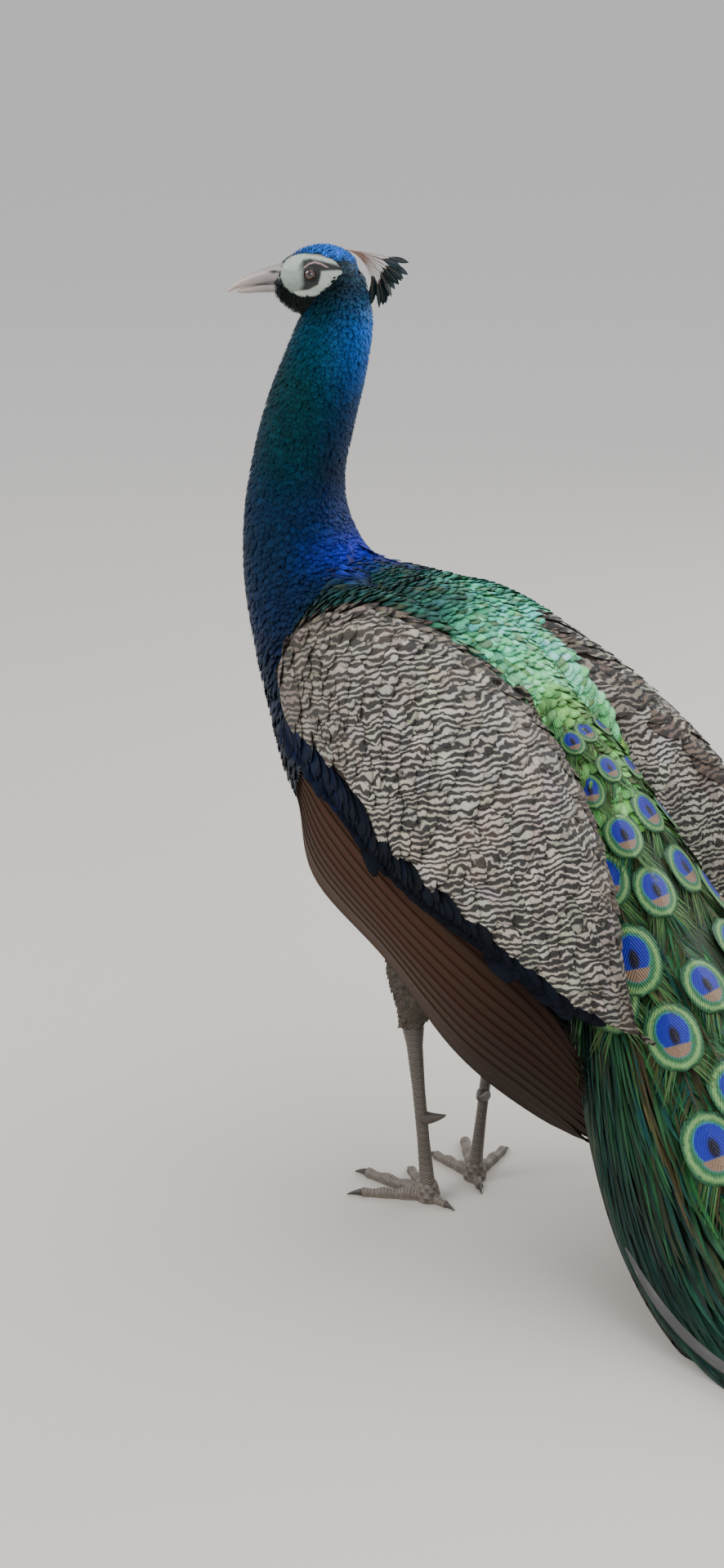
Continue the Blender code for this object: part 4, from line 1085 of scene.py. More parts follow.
# ------------------------------------------------------------------ Mantle
# Stiff rounded feathers between the wings, laid like scales: teal at the
# neck, then bright metallic green, each with a dark bronze edge. They run out
# over the inner part of the slopes up to both wings, and over the right wing's shoulder.
SLOPE_GREEN = {  # how far out from the back the green runs, from wrist to rump
    -1: ((0.6, 1.2), (1.6, 0.95), (2.6, 0.75), (3.2, 0.55), (3.9, 0.45), (4.5, 0.45)),
    1: ((0.6, 1.2), (1.6, 1.2), (2.6, 1.1), (3.2, 0.60), (3.9, 0.30), (4.5, -0.2)),
}
SHOULDER_GREEN = ((0.0, 0.45), (1.0, 0.40), (2.2, 0.18), (2.7, -0.05))
SLOPE_GAPS = ((0, 0.0062), (4, 0.0070)), ((0, 0.0060), (4, 0.0070))
SHOULDER_GAPS = ((0, 0.0062), (3, 0.0070)), ((0, 0.0060), (3, 0.0070))
SLOPE_LENGTH, SHOULDER_LENGTH = ((0, 0.0160), (2, 0.0190), (4, 0.0210)), ((0, 0.0160), (2, 0.0200))
MANTLE_GAP = ((6.0, 0.0052), (7.5, 0.0062), (11.0, 0.0072))
MANTLE_LENGTH = ((6.0, 0.0150), (7.5, 0.0185), (11.0, 0.0210))
BRONZE_SCALE, SLATE, MANTLE_SHEEN = (0.120, 0.130, 0.045), (0.036, 0.100, 0.096), 0.62
MANTLE_TURN, SLOPE_SHIFT, SLOPE_NARROWED = 0.80, 0.3, 0.45
SCALE_CUT = dict(share=0.70, bend=0.14, steps=(0, 0.25, 0.5, 0.7, 0.86, 0.96, 1), columns=5, cup=0.0014)
mantle_scale = plumage("mantle plumage", 0.45, 0.40, 0.20, 0.36, barbs=8)


def mantle_colour(t, turn, narrowed=1.0):
    """The back's colour: slate over the left shoulder's front, lightened by painted sheen behind and over the
    right one.
    """
    left = np.clip((turn + 0.35) / 0.40, 0, 1)
    slate = (0.75 * left * np.clip((8.4 - t) / 0.7, 0, 1) * np.clip((t - 6.0) / 0.5, 0, 1))[:, None]
    # Painted sheen: the back is lightened from t=7 rearwards by MANTLE_SHEEN, and more along the right ridge.
    ridge = 0.85 * (1 - left) * np.clip((t - 6.3) / 0.9, 0, 1) * np.clip((10.0 - t) / 1.2, 0, 1)
    bright = 1 + (MANTLE_SHEEN * np.clip((t - 7.0) / 1.4, 0, 1) + ridge)[:, None]
    return between(plumage_colour_and_sheen(t, turn * narrowed) * bright, SLATE, slate)


def bronzed(colours):
    """Greens with some feathers turned towards bronze and some towards pale sea green, by chance."""
    turn = chances.random((len(colours), 1))
    bronze = np.clip((turn - 0.72) / 0.2, 0, 1) * 0.7
    pale = np.clip((0.30 - turn) / 0.2, 0, 1) * 0.35
    green = colours * (1 - bronze) + np.array(BRONZE_SCALE) * bronze * (0.3 + colours[:, 1:2] * 2)
    return varied(green * (1 - pale) + (green * 1.3 + 0.10 * colours[:, 1:2]) * pale, 0.22)


def outer_scales(surface, roots, lengths, sink, lift, side):
    """A grid for `coat` of scales on a slope or a shoulder, coloured by their place beside the spine."""
    points, vanes = grown(surface, roots, graded(lengths, roots[:, 0]), sink=sink, lift=lift, out=side,
                          **SCALE_CUT)
    t, turn = spine_place(surface(roots[:, 0], roots[:, 1]))
    tint = bronzed(mantle_colour(t - SLOPE_SHIFT, turn, SLOPE_NARROWED))
    return points, vanes, tint, round_places(np.stack([t, turn], 1), 14)


def nearer(roots, uneven, limit):
    """Which roots lie nearer the surface's inner edge than a limit, made uneven by chance."""
    return roots[:, 1] + chances.normal(0, uneven, len(roots)) < graded(limit, roots[:, 0])


roots = staggered(body, 5.60, 12.2, -MANTLE_TURN, MANTLE_TURN, MANTLE_GAP, jitter=0.26)
points, vanes = grown(body, roots, graded(MANTLE_LENGTH, roots[:, 0]), sink=0.0046, lift=0.0016, **SCALE_CUT)
grids = [(points, vanes, bronzed(mantle_colour(roots[:, 0], roots[:, 1])), round_places(roots, 14))]
for side, end in ((-1, 3.9), (1, 4.6)):
    roots = staggered(shoulder(side), 0.25, end, -0.15, 1.0, *SLOPE_GAPS, 0.26)
    roots = roots[nearer(roots, 0.05, SLOPE_GREEN[side])]
    grids.append(outer_scales(shoulder(side), roots, SLOPE_LENGTH, 0.0050, 0.0018, side))
roots = staggered(wing(1), 0.12, 2.9, -0.04, 0.45, *SHOULDER_GAPS, 0.26)
roots = roots[nearer(roots, 0.03, SHOULDER_GREEN)]
grids.append(outer_scales(wing(1), roots, SHOULDER_LENGTH, 0.0045, 0.0020, 1))
coat("mantle_coat", grids, mantle_scale, "green_plumage")

# ------------------------------------------------------------------ Wings
# The folded wing shows its shoulder feathers and long inner flight feathers,
# cream with wavy black-brown bars, browner at the shoulder and the upper
# edge. Blue-black feathers edge it below. All overlap towards the rump.
WING_GAP = ((0.0, 0.0080), (1.0, 0.0100), (2.5, 0.0150), (4.5, 0.0220), (6.0, 0.0240))
WING_ACROSS = ((0.0, 0.0080), (1.0, 0.0095), (2.5, 0.0130), (4.5, 0.0150), (6.0, 0.0140))
WING_LENGTH = ((0.0, 0.0190), (1.0, 0.0270), (2.5, 0.0430), (4.5, 0.0680), (5.4, 0.0600), (6.0, 0.0300))
EDGE_GAP, EDGE_LENGTH = ((0.0, 0.0050), (6.0, 0.0080)), ((0.0, 0.0200), (2.0, 0.0320), (6.0, 0.0400))
EDGE_FROM = ((0.0, 1.0), (0.7, 0.85), (1.6, 0.86), (2.6, 0.91), (3.4, 0.94), (4.4, 0.96), (5.3, 0.97))
BARRED_CUT = dict(steps=(0, 0.2, 0.4, 0.58, 0.74, 0.87, 0.96, 1), columns=7, cup=0.0014)
BARRED_SHARE = 0.62
EDGE_CUT = dict(share=0.42, bend=0.07, lean=0.30,
                steps=(0, 0.25, 0.5, 0.75, 0.92, 1), columns=5, sink=0.0042, lift=0.0030, cup=0.0006)
BAR_PITCH, BAR_SLOPE = 0.0060, 0.30
CREAM, DARK_BAR, BROWN_BAR = (0.580, 0.530, 0.450), (0.010, 0.009, 0.009), (0.060, 0.034, 0.022)
BROWN_CREAM, BLUE_BLACK, EDGE_BLUE = (0.160, 0.115, 0.080), (0.0022, 0.0050, 0.0130), (0.003, 0.013, 0.055)
WING_BROWN = ((0.0, 0.85), (1.2, 0.45), (2.2, 0.05), (4.2, 0.12), (5.5, 0.60))
SLOPE_BROWN = ((1.5, 0.95), (3.0, 0.75), (4.0, 0.25), (5.5, 0.15))


def barred():
    """Finish of the barred feathers: dark bands nearly level, a fixed pitch apart, bent and broken by noise
    and moved up or down from one feather to the next, over the feather's own pale colour; softer near each
    rim, and darker near the root as painted shade where the feather before lies over it."""
    finish = Finish("barred plumage", roughness=0.62)
    u, s, chance = finish.split(finish.read("vane"))
    place = finish.place()
    x, y, z = finish.split(place)
    x = x - float(SHIFT[0])
    wave = finish.noise(place, 42, 2.0)
    ripple = finish.noise(place, 170, 2.0)
    height = z - x * BAR_SLOPE + wave * 0.022 + ripple * (x.step(0.08, 0.22) * 0.003 + 0.0050)
    bands = height * (2 * math.pi / BAR_PITCH) + (chance - 0.5) * 3.6
    patch = finish.noise(finish.join(x * 60, y * 60, z * 130), 1.0, 2.0)
    dark = (bands.sine() + (patch - 0.5) * 3.0).step(-0.80, 0.40) * (0.84 + 0.12 * x.step(-0.09, 0.03))
    pale = finish.read("tint", "Color")
    deep = finish.mix(finish.noise(place, 22).step(0.52, 0.75), DARK_BAR, BROWN_BAR)
    barb = ((abs(u) * 2.0 - s * 3.0) * 22 + chance * 40).sine()
    level = (0.74 + 0.44 * finish.noise(place, 90, 3.0)) * (1 + 0.06 * barb) * (0.88 + 0.24 * chance)
    rim = 1 - abs(u).step(0.86, 1.0) * 0.20
    # The last factor is painted shade: darker towards each feather's root, where the one before lies over it.
    finish.colour(finish.shade(finish.mix(dark, pale, deep), level * rim * (0.7 + 0.3 * s.step(0.05, 0.4))))
    finish.bump(barb, 0.0003)
    return finish


def in_cells(count):
    """Places in a square net of patches, for feathers whose pattern the unwrap must keep; and their size."""
    net = math.ceil(math.sqrt(count))
    spot = np.arange(count)
    cell = 1 / net
    return np.stack([spot % net, spot // net], 1) * cell / (1 - cell * 0.94), cell * 0.94


wing_bars = barred()
band_dark = plumage("wing edge plumage", 0.0, 0.55, 0.08, 0.30, shine=0.15)
for side, name in ((-1, "left"), (1, "right")):
    surface = wing(side)
    roots = staggered(surface, 0.10, 5.75, -0.09, 0.985, WING_GAP, WING_ACROSS, 0.34)
    under_mantle = (side > 0) & (roots[:, 1] < graded(SHOULDER_GREEN, roots[:, 0]) - 0.05)
    roots = roots[~under_mantle]
    along, down = roots.T
    shown = nearer(roots, 0.022, EDGE_FROM)
    length = graded(WING_LENGTH, along) * chances.uniform(0.88, 1.12, len(along))
    length = length * np.interp(down, (0, 0.2), (0.6, 1))
    lean = chances.normal(0.0, 0.13, len(along)) + 0.25 * (0.5 - down)
    brown = graded(WING_BROWN, along) + 0.8 * np.exp(-down / 0.07) + chances.normal(0, 0.10, len(along))
    pale = varied(between(CREAM, BROWN_CREAM, np.clip(brown, 0, 1)[:, None]), 0.07)
    points, vanes = laid(surface, roots[shown], length[shown], length[shown] * BARRED_SHARE, lean=lean[shown],
                         sink=0.0045, lift=0.0016, out=side, **BARRED_CUT)
    coat(f"wing_coat_{name}", [(points, vanes, pale[shown], *in_cells(len(points)))],
         wing_bars, "barred_plumage")

    roots = staggered(surface, 0.3, 5.3, 0.70, 1.0, EDGE_GAP, jitter=0.34)
    roots = roots[roots[:, 1] > graded(EDGE_FROM, roots[:, 0]) - 0.01]
    points, vanes = grown(surface, roots, graded(EDGE_LENGTH, roots[:, 0]), out=side, **EDGE_CUT)
    fore = np.interp(roots[:, :1], (0.8, 2.6), (1, 0))
    place = np.stack([roots[:, 1], roots[:, 0] / 6], 1)
    coat(f"wing_edge_{name}", [(points, vanes, varied(between(BLUE_BLACK, EDGE_BLUE, fore), 0.18), place)],
         band_dark, "blue_plumage")

    slope = shoulder(side)
    roots = staggered(slope, 0.35, SLOPE_ENDS[side] + 0.2 * side, -0.1, 0.99, WING_GAP, WING_ACROSS, 0.30)
    roots = roots[~nearer(roots, 0.04, SLOPE_GREEN[side])]
    length = graded(WING_LENGTH, roots[:, 0]) * 0.70 * np.interp(roots[:, 1], (0.72, 0.98), (1.0, 0.55))
    points, vanes = grown(slope, roots, length, BARRED_SHARE, 0.12, vary=0.12, sink=0.0048, lift=0.0018,
                          out=side, **BARRED_CUT)
    brown = np.clip(graded(SLOPE_BROWN, roots[:, :1]) + chances.normal(0, 0.12, (len(roots), 1)), 0, 1)
    pale = varied(between(CREAM, BROWN_CREAM, brown), 0.07)
    coat(f"scapulars_{name}", [(points, vanes, pale, *in_cells(len(points)))], wing_bars, "barred_plumage")

# ------------------------------------------------------------------ Flight feathers
# Ten stiff chestnut primaries a side, folded under the wing with their tips
# towards the tail. Each has a pale brown shaft and lies over the one below.
PRIMARIES = np.array([  # top edge, bottom edge, swell between them, thickness, wrist to tip
    (-0.088, 0.116, 0.432, -0.106, 0.103, 0.396, 0.001, 0.003),
    (-0.030, 0.130, 0.404, -0.085, 0.104, 0.324, 0.010, 0.007),
    (0.040, 0.135, 0.350, -0.012, 0.101, 0.260, 0.012, 0.007),
    (0.110, 0.130, 0.303, 0.058, 0.098, 0.189, 0.010, 0.006),
    (0.158, 0.118, 0.262, 0.128, 0.091, 0.145, 0.006, 0.004),
    (0.204, 0.108, 0.212, 0.232, 0.084, 0.100, 0.002, 0.0015),
])
PRIMARY_COUNT, PRIMARY_WIDTH, PRIMARY_THICK = 10, 2.3, 0.0007
CHESTNUT, CHESTNUT_PALE, CHESTNUT_DARK = (0.062, 0.024, 0.012), (0.066, 0.035, 0.022), (0.038, 0.017, 0.010)
SHAFT_BUFF = (0.200, 0.120, 0.080)


def strips(surface, first, last, middle, half, base, tilt, thick, steps=40, blunt=0.82, gather=0.0, out=-1):
    """Long feathers side by side on a surface, each a closed shell `thick` deep. It runs from a=first to
    last with its shaft at b=middle, drawn towards b=0.6 by `gather` at its end, closes to a tip after the
    share `blunt`, and stands `base` over the surface, plus `tilt` across it."""
    s = np.linspace(0, 1, steps)[None, :, None]
    u = np.linspace(-1, 1, 9)[None, None, :]
    first, last, middle, half, base = (value[:, None, None] for value in (first, last, middle, half, base))
    tip = np.sqrt(np.maximum(1 - np.maximum((s - blunt) / (1 - blunt), 0) ** 2.4, 0))
    at_a = first + (last - first) * s * (1 - 0.015 * u**2)
    at_b = middle + (0.6 - middle) * gather * s**3 + u * half * (np.minimum(s / 0.08, 1) ** 0.5 * tip)
    point = surface(at_a, at_b)
    tiny = 1e-3
    normal = out * unit(np.cross(surface(at_a + tiny, at_b) - point, surface(at_a, at_b + tiny) - point))
    top = point + normal * (base + tilt * u + thick * 0.8 * np.exp(-(u / 0.07) ** 2))[..., None]
    under = top - normal * thick
    vane = np.stack([u + 0 * s, s + 0 * u, 0 * s * u], -1) + np.zeros(top.shape)
    vane[..., 2] = chances.random(len(top))[:, None, None]
    return np.concatenate([top, under[:, :, ::-1]], 2), np.concatenate([vane, vane[:, :, ::-1]], 2)


def shells(name, points, vane, tint, finish, slot, *replaced):
    """One mesh of many closed long feathers, each with a patch of its own in the unwrap."""
    count, rows, columns = points.shape[:3]
    quads = grid_quads(count, rows, columns, closed=True)
    place, patch = in_cells(count)
    column = np.linspace(0, 1, columns)[None, None] + 0 * vane[..., 0]
    spot = np.stack([column, vane[..., 1]], -1) * patch + place[:, None, None] * (1 - patch)
    tints = np.broadcast_to(tint[:, None, None], points.shape).reshape(-1, 3)
    mesh = mesh_with_map(name, points.reshape(-1, 3), quads, spot.reshape(-1, 2), vane, tints)
    piece(name, mesh, finish, slot, *replaced)


chestnut = Finish("flight plumage", roughness=0.5, specular_ior_level=0.15)
u, s, chance = chestnut.split(chestnut.read("vane"))
chestnut_barb = ((abs(u) * 1.0 - s * 9.0) * 60 + chance * 40).sine()
chestnut_streak = chestnut.noise(chestnut.join(u * 5.0, s * 0.8, chance * 30), 2.2, 3.0)
chestnut_level = (0.62 + 0.76 * chestnut_streak) * (1 + 0.06 * chestnut_barb)
chestnut_level = chestnut_level * (1 - 0.28 * abs(u).step(0.70, 1.0)) * (1 - 0.62 * s.step(0.35, 0.85))
shaft_line = abs(u).step(0.055, 0.030)
chestnut_vane = chestnut.shade(chestnut.read("tint", "Color"), chestnut_level)
chestnut.colour(chestnut.mix(shaft_line * 0.12, chestnut_vane, SHAFT_BUFF))
chestnut.bump(chestnut_barb + 3 * shaft_line, 0.0002)
rank = np.linspace(0, 1, PRIMARY_COUNT)
shade_share = np.clip(rank[:, None] * 1.15 - 0.10, 0, 1)
for side, name in ((-1, "left"), (1, "right")):
    ends = 5.0 - np.abs(chances.normal(0, 0.03, PRIMARY_COUNT)) - 0.35 * rank**4 - 0.20 * (1 - rank) ** 2
    points, vanes = strips(lambda a, b: sheet_between(PRIMARIES, a, b, side, WING_LEAN)[0], 0.02 + 0 * rank,
                           ends, 0.055 + 0.89 * rank, PRIMARY_WIDTH * 0.5 / PRIMARY_COUNT + 0 * rank,
                           -0.0012 - 0.0035 * rank, -0.0016, PRIMARY_THICK, blunt=0.80, gather=0.12, out=side)
    primary_tint = varied(between(CHESTNUT_DARK, CHESTNUT_PALE, shade_share), 0.10)
    primary_tint[0:6] = varied(np.tile(CHESTNUT, (6, 1)) * [[0.8], [0.9], [1.0], [1.1], [1.0], [0.9]], 0.08)
    shells(f"primaries_coat_{name}", points, vanes, primary_tint, chestnut, "chestnut_plumage",
           f"primaries_{name}")

# ------------------------------------------------------------------ Thighs and vent
# Soft grey-buff down that hangs to the hock, loose behind the legs and under
# the root of the tail.
THIGH_GAP = ((0.0, 0.0075), (4.0, 0.0050))
THIGH_LENGTH = ((0.0, 0.0240), (3.0, 0.0180), (4.0, 0.0120))
DOWN_GREY, DOWN_DARK = (0.110, 0.088, 0.064), (0.050, 0.038, 0.030)
DOWN_CUT = dict(steps=(0, 0.3, 0.6, 0.85, 1), columns=3, cup=0.0012)
down_finish = plumage("down", 0.0, 0.85, 0.16, 0.20, barbs=6)
for name, leg in LEGS.items():
    surface = thigh(leg["side"], leg["hock"])
    roots = staggered(surface, 0.15, 3.55, 0.0, 2 * np.pi, THIGH_GAP)
    points, vanes = grown(surface, roots, graded(THIGH_LENGTH, roots[:, 0]), 0.55, 0.12,
                          sink=0.0026, lift=0.0016, out=1, **DOWN_CUT)
    tint = varied(between(DOWN_DARK, DOWN_GREY, np.clip(roots[:, :1] / 3.0, 0, 1)), 0.12)
    coat(f"thigh_coat_{name}", [(points, vanes, tint, round_places(roots, 4))], down_finish, "grey_down")

roots = staggered(vent, 0.1, 3.9, 0.0, 2 * np.pi, THIGH_GAP)
size = chances.uniform(0.020, 0.032, len(roots))
points, vanes = laid(vent, roots, size, size * 0.5, lean=chances.normal(0, 0.16, len(roots)),
                     sink=0.0030, lift=0.0030, **DOWN_CUT)
tint = varied(np.tile(DOWN_DARK, (len(roots), 1)), 0.15)
coat("vent_coat", [(points, vanes, tint, round_places(roots, 4))], down_finish, "grey_down")

# ------------------------------------------------------------------ Train
# About two hundred long upper tail coverts arch over the rump and trail on
# the floor. Each ends in an eye: a blue heart with a dark notch, a copper
# patch, a green ring, and loose bronze-green barbs all along its shaft.
TRAIN_COAT, UNDER_END, UNDER_NARROWED = 0.007, 9.72, 0.91
EYE_SIZE = ((0.0, 0.34), (1.2, 0.48), (1.9, 0.70), (2.5, 0.92), (3.4, 1.0), (10.0, 1.0))
EYE_GAP_ALONG = ((0.9, 0.036), (1.8, 0.060), (2.6, 0.082), (10.0, 0.096))
EYE_GAP_ACROSS = ((0.9, 0.029), (1.8, 0.046), (2.6, 0.064), (5.0, 0.074), (10.0, 0.078))
EYE_REACH = ((1.0, 0.90), (2.0, 0.74), (4.5, 0.72), (6.0, 0.90))  # out from the ridge, of the half width
RING_HALF, VANE_HALF, VANE_LENGTH = 0.0225, 0.0245, 0.0560
PLUME_STEPS, VANE_STEPS = 40, 13
BARB_LENGTH, BARB_HALF, BARBS_AT_A_STEP = 0.036, 0.0011, 3
WIDEST, EDGE_SPARE = 0.236, 0.014
FLOOR_CLEAR = 0.0008
BRONZE, EMERALD = (0.130, 0.130, 0.045), (0.050, 0.250, 0.085)
GOLD_GREEN, TEAL, EDGE_TEAL = (0.160, 0.340, 0.100), (0.012, 0.140, 0.110), (0.004, 0.070, 0.060)
RUMP_BRIGHT, RUMP_SIDE = (0.180, 0.500, 0.120), (0.030, 0.150, 0.065)
RUMP_GAPS = ((0, 0.0078), (2, 0.0090)), ((0, 0.0072), (2, 0.0085))
RUMP_LENGTH, RUMP_CUT = ((0, 0.021), (2, 0.026)), {**SCALE_CUT, "share": 0.66, "sink": 0.0060, "lift": 0.0014}
LOOSE_GAPS = ((0, 0.012), (3, 0.018), (10, 0.020)), ((0, 0.007), (3, 0.010), (10, 0.011))
LOOSE_LENGTH = ((0.9, 0.044), (2.0, 0.066), (3.0, 0.070), (9.0, 0.066), (9.7, 0.036))
LOOSE_CUT = dict(steps=(0, 0.22, 0.44, 0.66, 0.86, 1), columns=3, sink=0.0085, lift=-0.0028, cup=0.0008,
                 outline=lambda s: np.minimum(s / 0.2, 1) * (1 - 0.85 * s**1.6))
FANNING = ((0, 1.0), (4, 1.0), (7, 0.35), (10, 0.15))
TRAIN_DEPTH_SHADE, UNDER_GREEN, SHAFT_OLIVE = (0.004, 0.020, 0.012), (0.030, 0.050, 0.018), (0.14, 0.11, 0.06)
SWORD_FROM, SWORD_TO, SWORD_HALF = 3.2, 9.3, 0.013
SWORD_AT, SWORD_BASE = np.array([0.97, -0.72]), np.array([0.0048, 0.0020])  # left, right


def over_floor(points, clear=FLOOR_CLEAR):
    """Points with none lower than a clear height over the floor."""
    points[..., 2] = np.maximum(points[..., 2], clear)
    return points


def train_places(roots):
    """Places of feather roots on the train's unwrap: edge to edge across, rump to tip along."""
    return np.stack([roots[:, 1] * 0.5 + 0.5, np.clip(roots[:, 0] / 10, 0, 1)], 1)


def three_greens(mood, even, low):
    """Emerald over the mood `even`, bronze from it down to `low`, and teal below."""
    return (np.array(EMERALD) * (mood > even) + np.array(BRONZE) * ((mood <= even) & (mood > low))
            + np.array(TEAL) * (mood <= low))


rows = np.linspace(0.0, UNDER_END, 121)[:, None]
over = np.linspace(-1, 1, 41)
thick = through(TRAIN, rows[:, 0])[:, 4:5]
upper = train(rows, over) - np.array([0, 0, 1.0]) * TRAIN_COAT * np.minimum(1, thick / 0.02)[..., None]
upper[..., 1] *= UNDER_NARROWED
lower = upper.copy()
lower[..., 2] -= thick * (0.20 + 0.70 * np.cos(over * np.pi / 2))
under_points = over_floor(ends_closed(np.concatenate([upper, lower[:, ::-1]], 1)))
# The solid under the loose feathers is streaked dark green and near black: the near black is painted shade in
# the depth of the train.
under_finish = Finish("train under feathers", roughness=0.7)
under_streak = under_finish.drawn_out(20.0, 160.0, 60.0)
under_finish.colour(under_finish.mix(under_streak, TRAIN_DEPTH_SHADE, UNDER_GREEN))
under_finish.bump(under_streak, 0.003)
under_mesh = mesh_of("train_under", under_points.reshape(-1, 3),
                     grid_quads(1, *under_points.shape[:2], closed=True))
piece("train_under", under_mesh, under_finish, "green_plumage", "train_root", "train_mid", "train_end")

roots = staggered(train, 0.05, 1.75, -0.98, 0.98, *RUMP_GAPS, 0.24)
points, vanes = grown(train, roots, graded(RUMP_LENGTH, roots[:, 0]), lean=0.35 * roots[:, 1], **RUMP_CUT)
rump_tint = bronzed(between(RUMP_BRIGHT, RUMP_SIDE, np.abs(roots[:, 1:]) ** 1.5))
coat("rump_coat", [(points, vanes, rump_tint, train_places(roots))], mantle_scale, "green_plumage")

barb_finish = plumage("train barbs", 0.40, 0.42, 0.06, 0.15, barbs=3)
roots = staggered(train, 0.9, 10.02, -1.04, 1.04, *LOOSE_GAPS, 0.35)
off_middle = np.abs(roots[:, 1])
size = graded(LOOSE_LENGTH, roots[:, 0]) * chances.uniform(0.75, 1.2, len(roots))
lean = (0.50 * roots[:, 1] * np.clip((1.04 - off_middle) / 0.24, 0, 1)
        + chances.normal(0, 0.14, len(roots)) * np.interp(off_middle, (0.8, 1), (1, 0.1)))
points, vanes = laid(train, roots, size, size * 0.15, lean=lean, **LOOSE_CUT)
loose_tint = three_greens(chances.random((len(roots), 1)), 0.45, 0.2)
loose_tint = between(loose_tint, EDGE_TEAL, 0.8 * np.clip((off_middle[:, None] - 0.62) / 0.25, 0, 1))
coat("train_loose", [(over_floor(points), vanes, varied(loose_tint, 0.25), train_places(roots))],
     plumage("loose train feathers", 0.25, 0.50, 0.36, 0.20, barbs=10, ridge=0.0008), "green_plumage")

tips = staggered(train, 0.95, 10.0, -0.88, 0.88, EYE_GAP_ALONG, EYE_GAP_ACROSS, 0.16)
tips = tips[np.abs(tips[:, 1]) < graded(EYE_REACH, tips[:, 0])]
size = graded(EYE_SIZE, tips[:, 0]) * chances.uniform(0.93, 1.05, len(tips))
count = len(tips)
tip_yaw = np.sign(tips[:, 1]) * np.maximum(np.abs(tips[:, 1]) - 0.18, 0) * 1.20 * graded(FANNING, tips[:, 0])
step = (VANE_LENGTH / (VANE_STEPS - 1)) * size
TINY_STEPS = ((0, 0), (1e-3, 0), (0, 1e-3))
walk = np.zeros((count, PLUME_STEPS, 2))
at = tips.copy()
for back in range(PLUME_STEPS):
    walk[:, PLUME_STEPS - 1 - back] = at
    yaw = tip_yaw * (1 - back / PLUME_STEPS) + chances.normal(0, 0.01, count)
    here, ahead_here, beside_here = (train(at[:, 0] + dt, at[:, 1] + da) for dt, da in TINY_STEPS)
    per_t = np.linalg.norm(ahead_here - here, axis=1) / 1e-3
    per_a = np.maximum(np.linalg.norm(beside_here - here, axis=1) / 1e-3, 0.02)
    at = at - np.stack([step * np.cos(yaw) / per_t, step * np.sin(yaw) / per_a], 1)
    at[:, 1] = np.clip(at[:, 1], -1, 1)
    at[:, 0] = np.maximum(at[:, 0], -0.3)
share = np.linspace(0, 1, PLUME_STEPS)
here, ahead_here, beside_here = (train(walk[..., 0] + dt, walk[..., 1] + da) for dt, da in TINY_STEPS)
normal = -unit(np.cross(ahead_here - here, beside_here - here))
stack = chances.uniform(-0.0008, 0.0008, (count, 1))
height = -0.0075 + 0.0105 * share**1.3 + stack
middle = here + normal * height[..., None]
ahead = unit(np.gradient(middle, axis=1))
sideways = unit(np.cross(ahead, normal))
normal = unit(np.cross(sideways, ahead))

vane_from = PLUME_STEPS - VANE_STEPS
u = np.linspace(-1, 1, 11)[None, None, :, None]
y = np.linspace(-1, 1, VANE_STEPS)
each_size = size[:, None, None, None]
vane_wide = (VANE_HALF * np.maximum(1 - np.abs(y) ** 2.6, 0.0) ** 0.5)[None, :, None, None] * each_size
eye_points = middle[:, vane_from:, None] + sideways[:, vane_from:, None] * u * vane_wide
eye_points = eye_points + normal[:, vane_from:, None] * (0.0012 - 0.0030 * u**2) * each_size
eye_points = over_floor(eye_points, FLOOR_CLEAR + 0.001)
eye_vane = vane_places(u[..., 0], np.linspace(0, 1, VANE_STEPS)[:, None], count)

eye_ring = Finish("train eyes", metallic=0.30, roughness=0.40)
u_tone, s_tone, chance = eye_ring.split(eye_ring.read("vane"))
y_tone = s_tone * 2 - 1
fullness = (1 - abs(y_tone) ** 2.6).most(0.0).root()
x_tone = u_tone * fullness * (VANE_HALF / RING_HALF)
z_tone = y_tone * (VANE_LENGTH / 2 / RING_HALF)


def from_middle_of(z_middle, x_half, z_half):
    """1 on an oval of the eye's pattern, in ring half widths, less inside it."""
    return ((x_tone * (1 / x_half)) ** 2 + ((z_tone - z_middle) * (1 / z_half)) ** 2).root()


eye_fray = eye_ring.noise(eye_ring.join(x_tone * 6, z_tone * 6, chance * 20), 1.6, 2.0)
blur = (eye_fray - 0.5) * 0.16
inner_part, outer_part = z_tone.step(0.36, 0.30), z_tone.step(0.30, 0.36)
from_heart = from_middle_of(-0.12, 0.64, 0.66) + blur
from_copper = from_middle_of(0.14, 0.60, 0.64) + blur
heart = from_heart.step(1.03, 0.95) * inner_part
notch = (from_middle_of(0.02, 0.20, 0.34) + blur).step(1.35, 0.65) * inner_part
copper = from_copper.step(1.04, 0.94) * outer_part
rim_blue = (from_heart.step(1.16, 1.04) * inner_part).most(from_copper.step(1.10, 1.00) * outer_part)
inner_ring = ((from_middle_of(0.04, 1.00, 1.10) + blur).step(1.06, 0.92)
              * (from_middle_of(0.03, 0.84, 0.94) + blur).step(0.92, 1.08))
barb_line = ((abs(x_tone) * 1.6 - z_tone) * 34 + chance * 9).sine()
outer_ring = (from_middle_of(0.05, 1.04, 1.14) + blur * 2 + 0.05 * barb_line).step(1.16, 0.90)
pattern = (0.010, 0.060, 0.026)
for part, part_colour in (
    (outer_ring, (0.026, 0.150, 0.055)),
    (inner_ring, (0.200, 0.380, 0.130)),
    (rim_blue * 0.8, (0.030, 0.220, 0.250)),
    (copper, (0.250, 0.155, 0.100)),
    (heart, (0.006, 0.014, 0.340)),
    (notch, (0.004, 0.003, 0.018)),
):
    pattern = eye_ring.mix(part, pattern, part_colour)
eye_ring.colour(eye_ring.shade(pattern, (1 + 0.09 * barb_line) * (0.78 + 0.44 * eye_fray)))
eye_ring.bump(barb_line, 0.0004)
coat("train_eyes", [(eye_points, eye_vane, np.tile([[0.1, 0.3, 0.1]], (count, 1)), *in_cells(count))],
     eye_ring, "green_plumage")

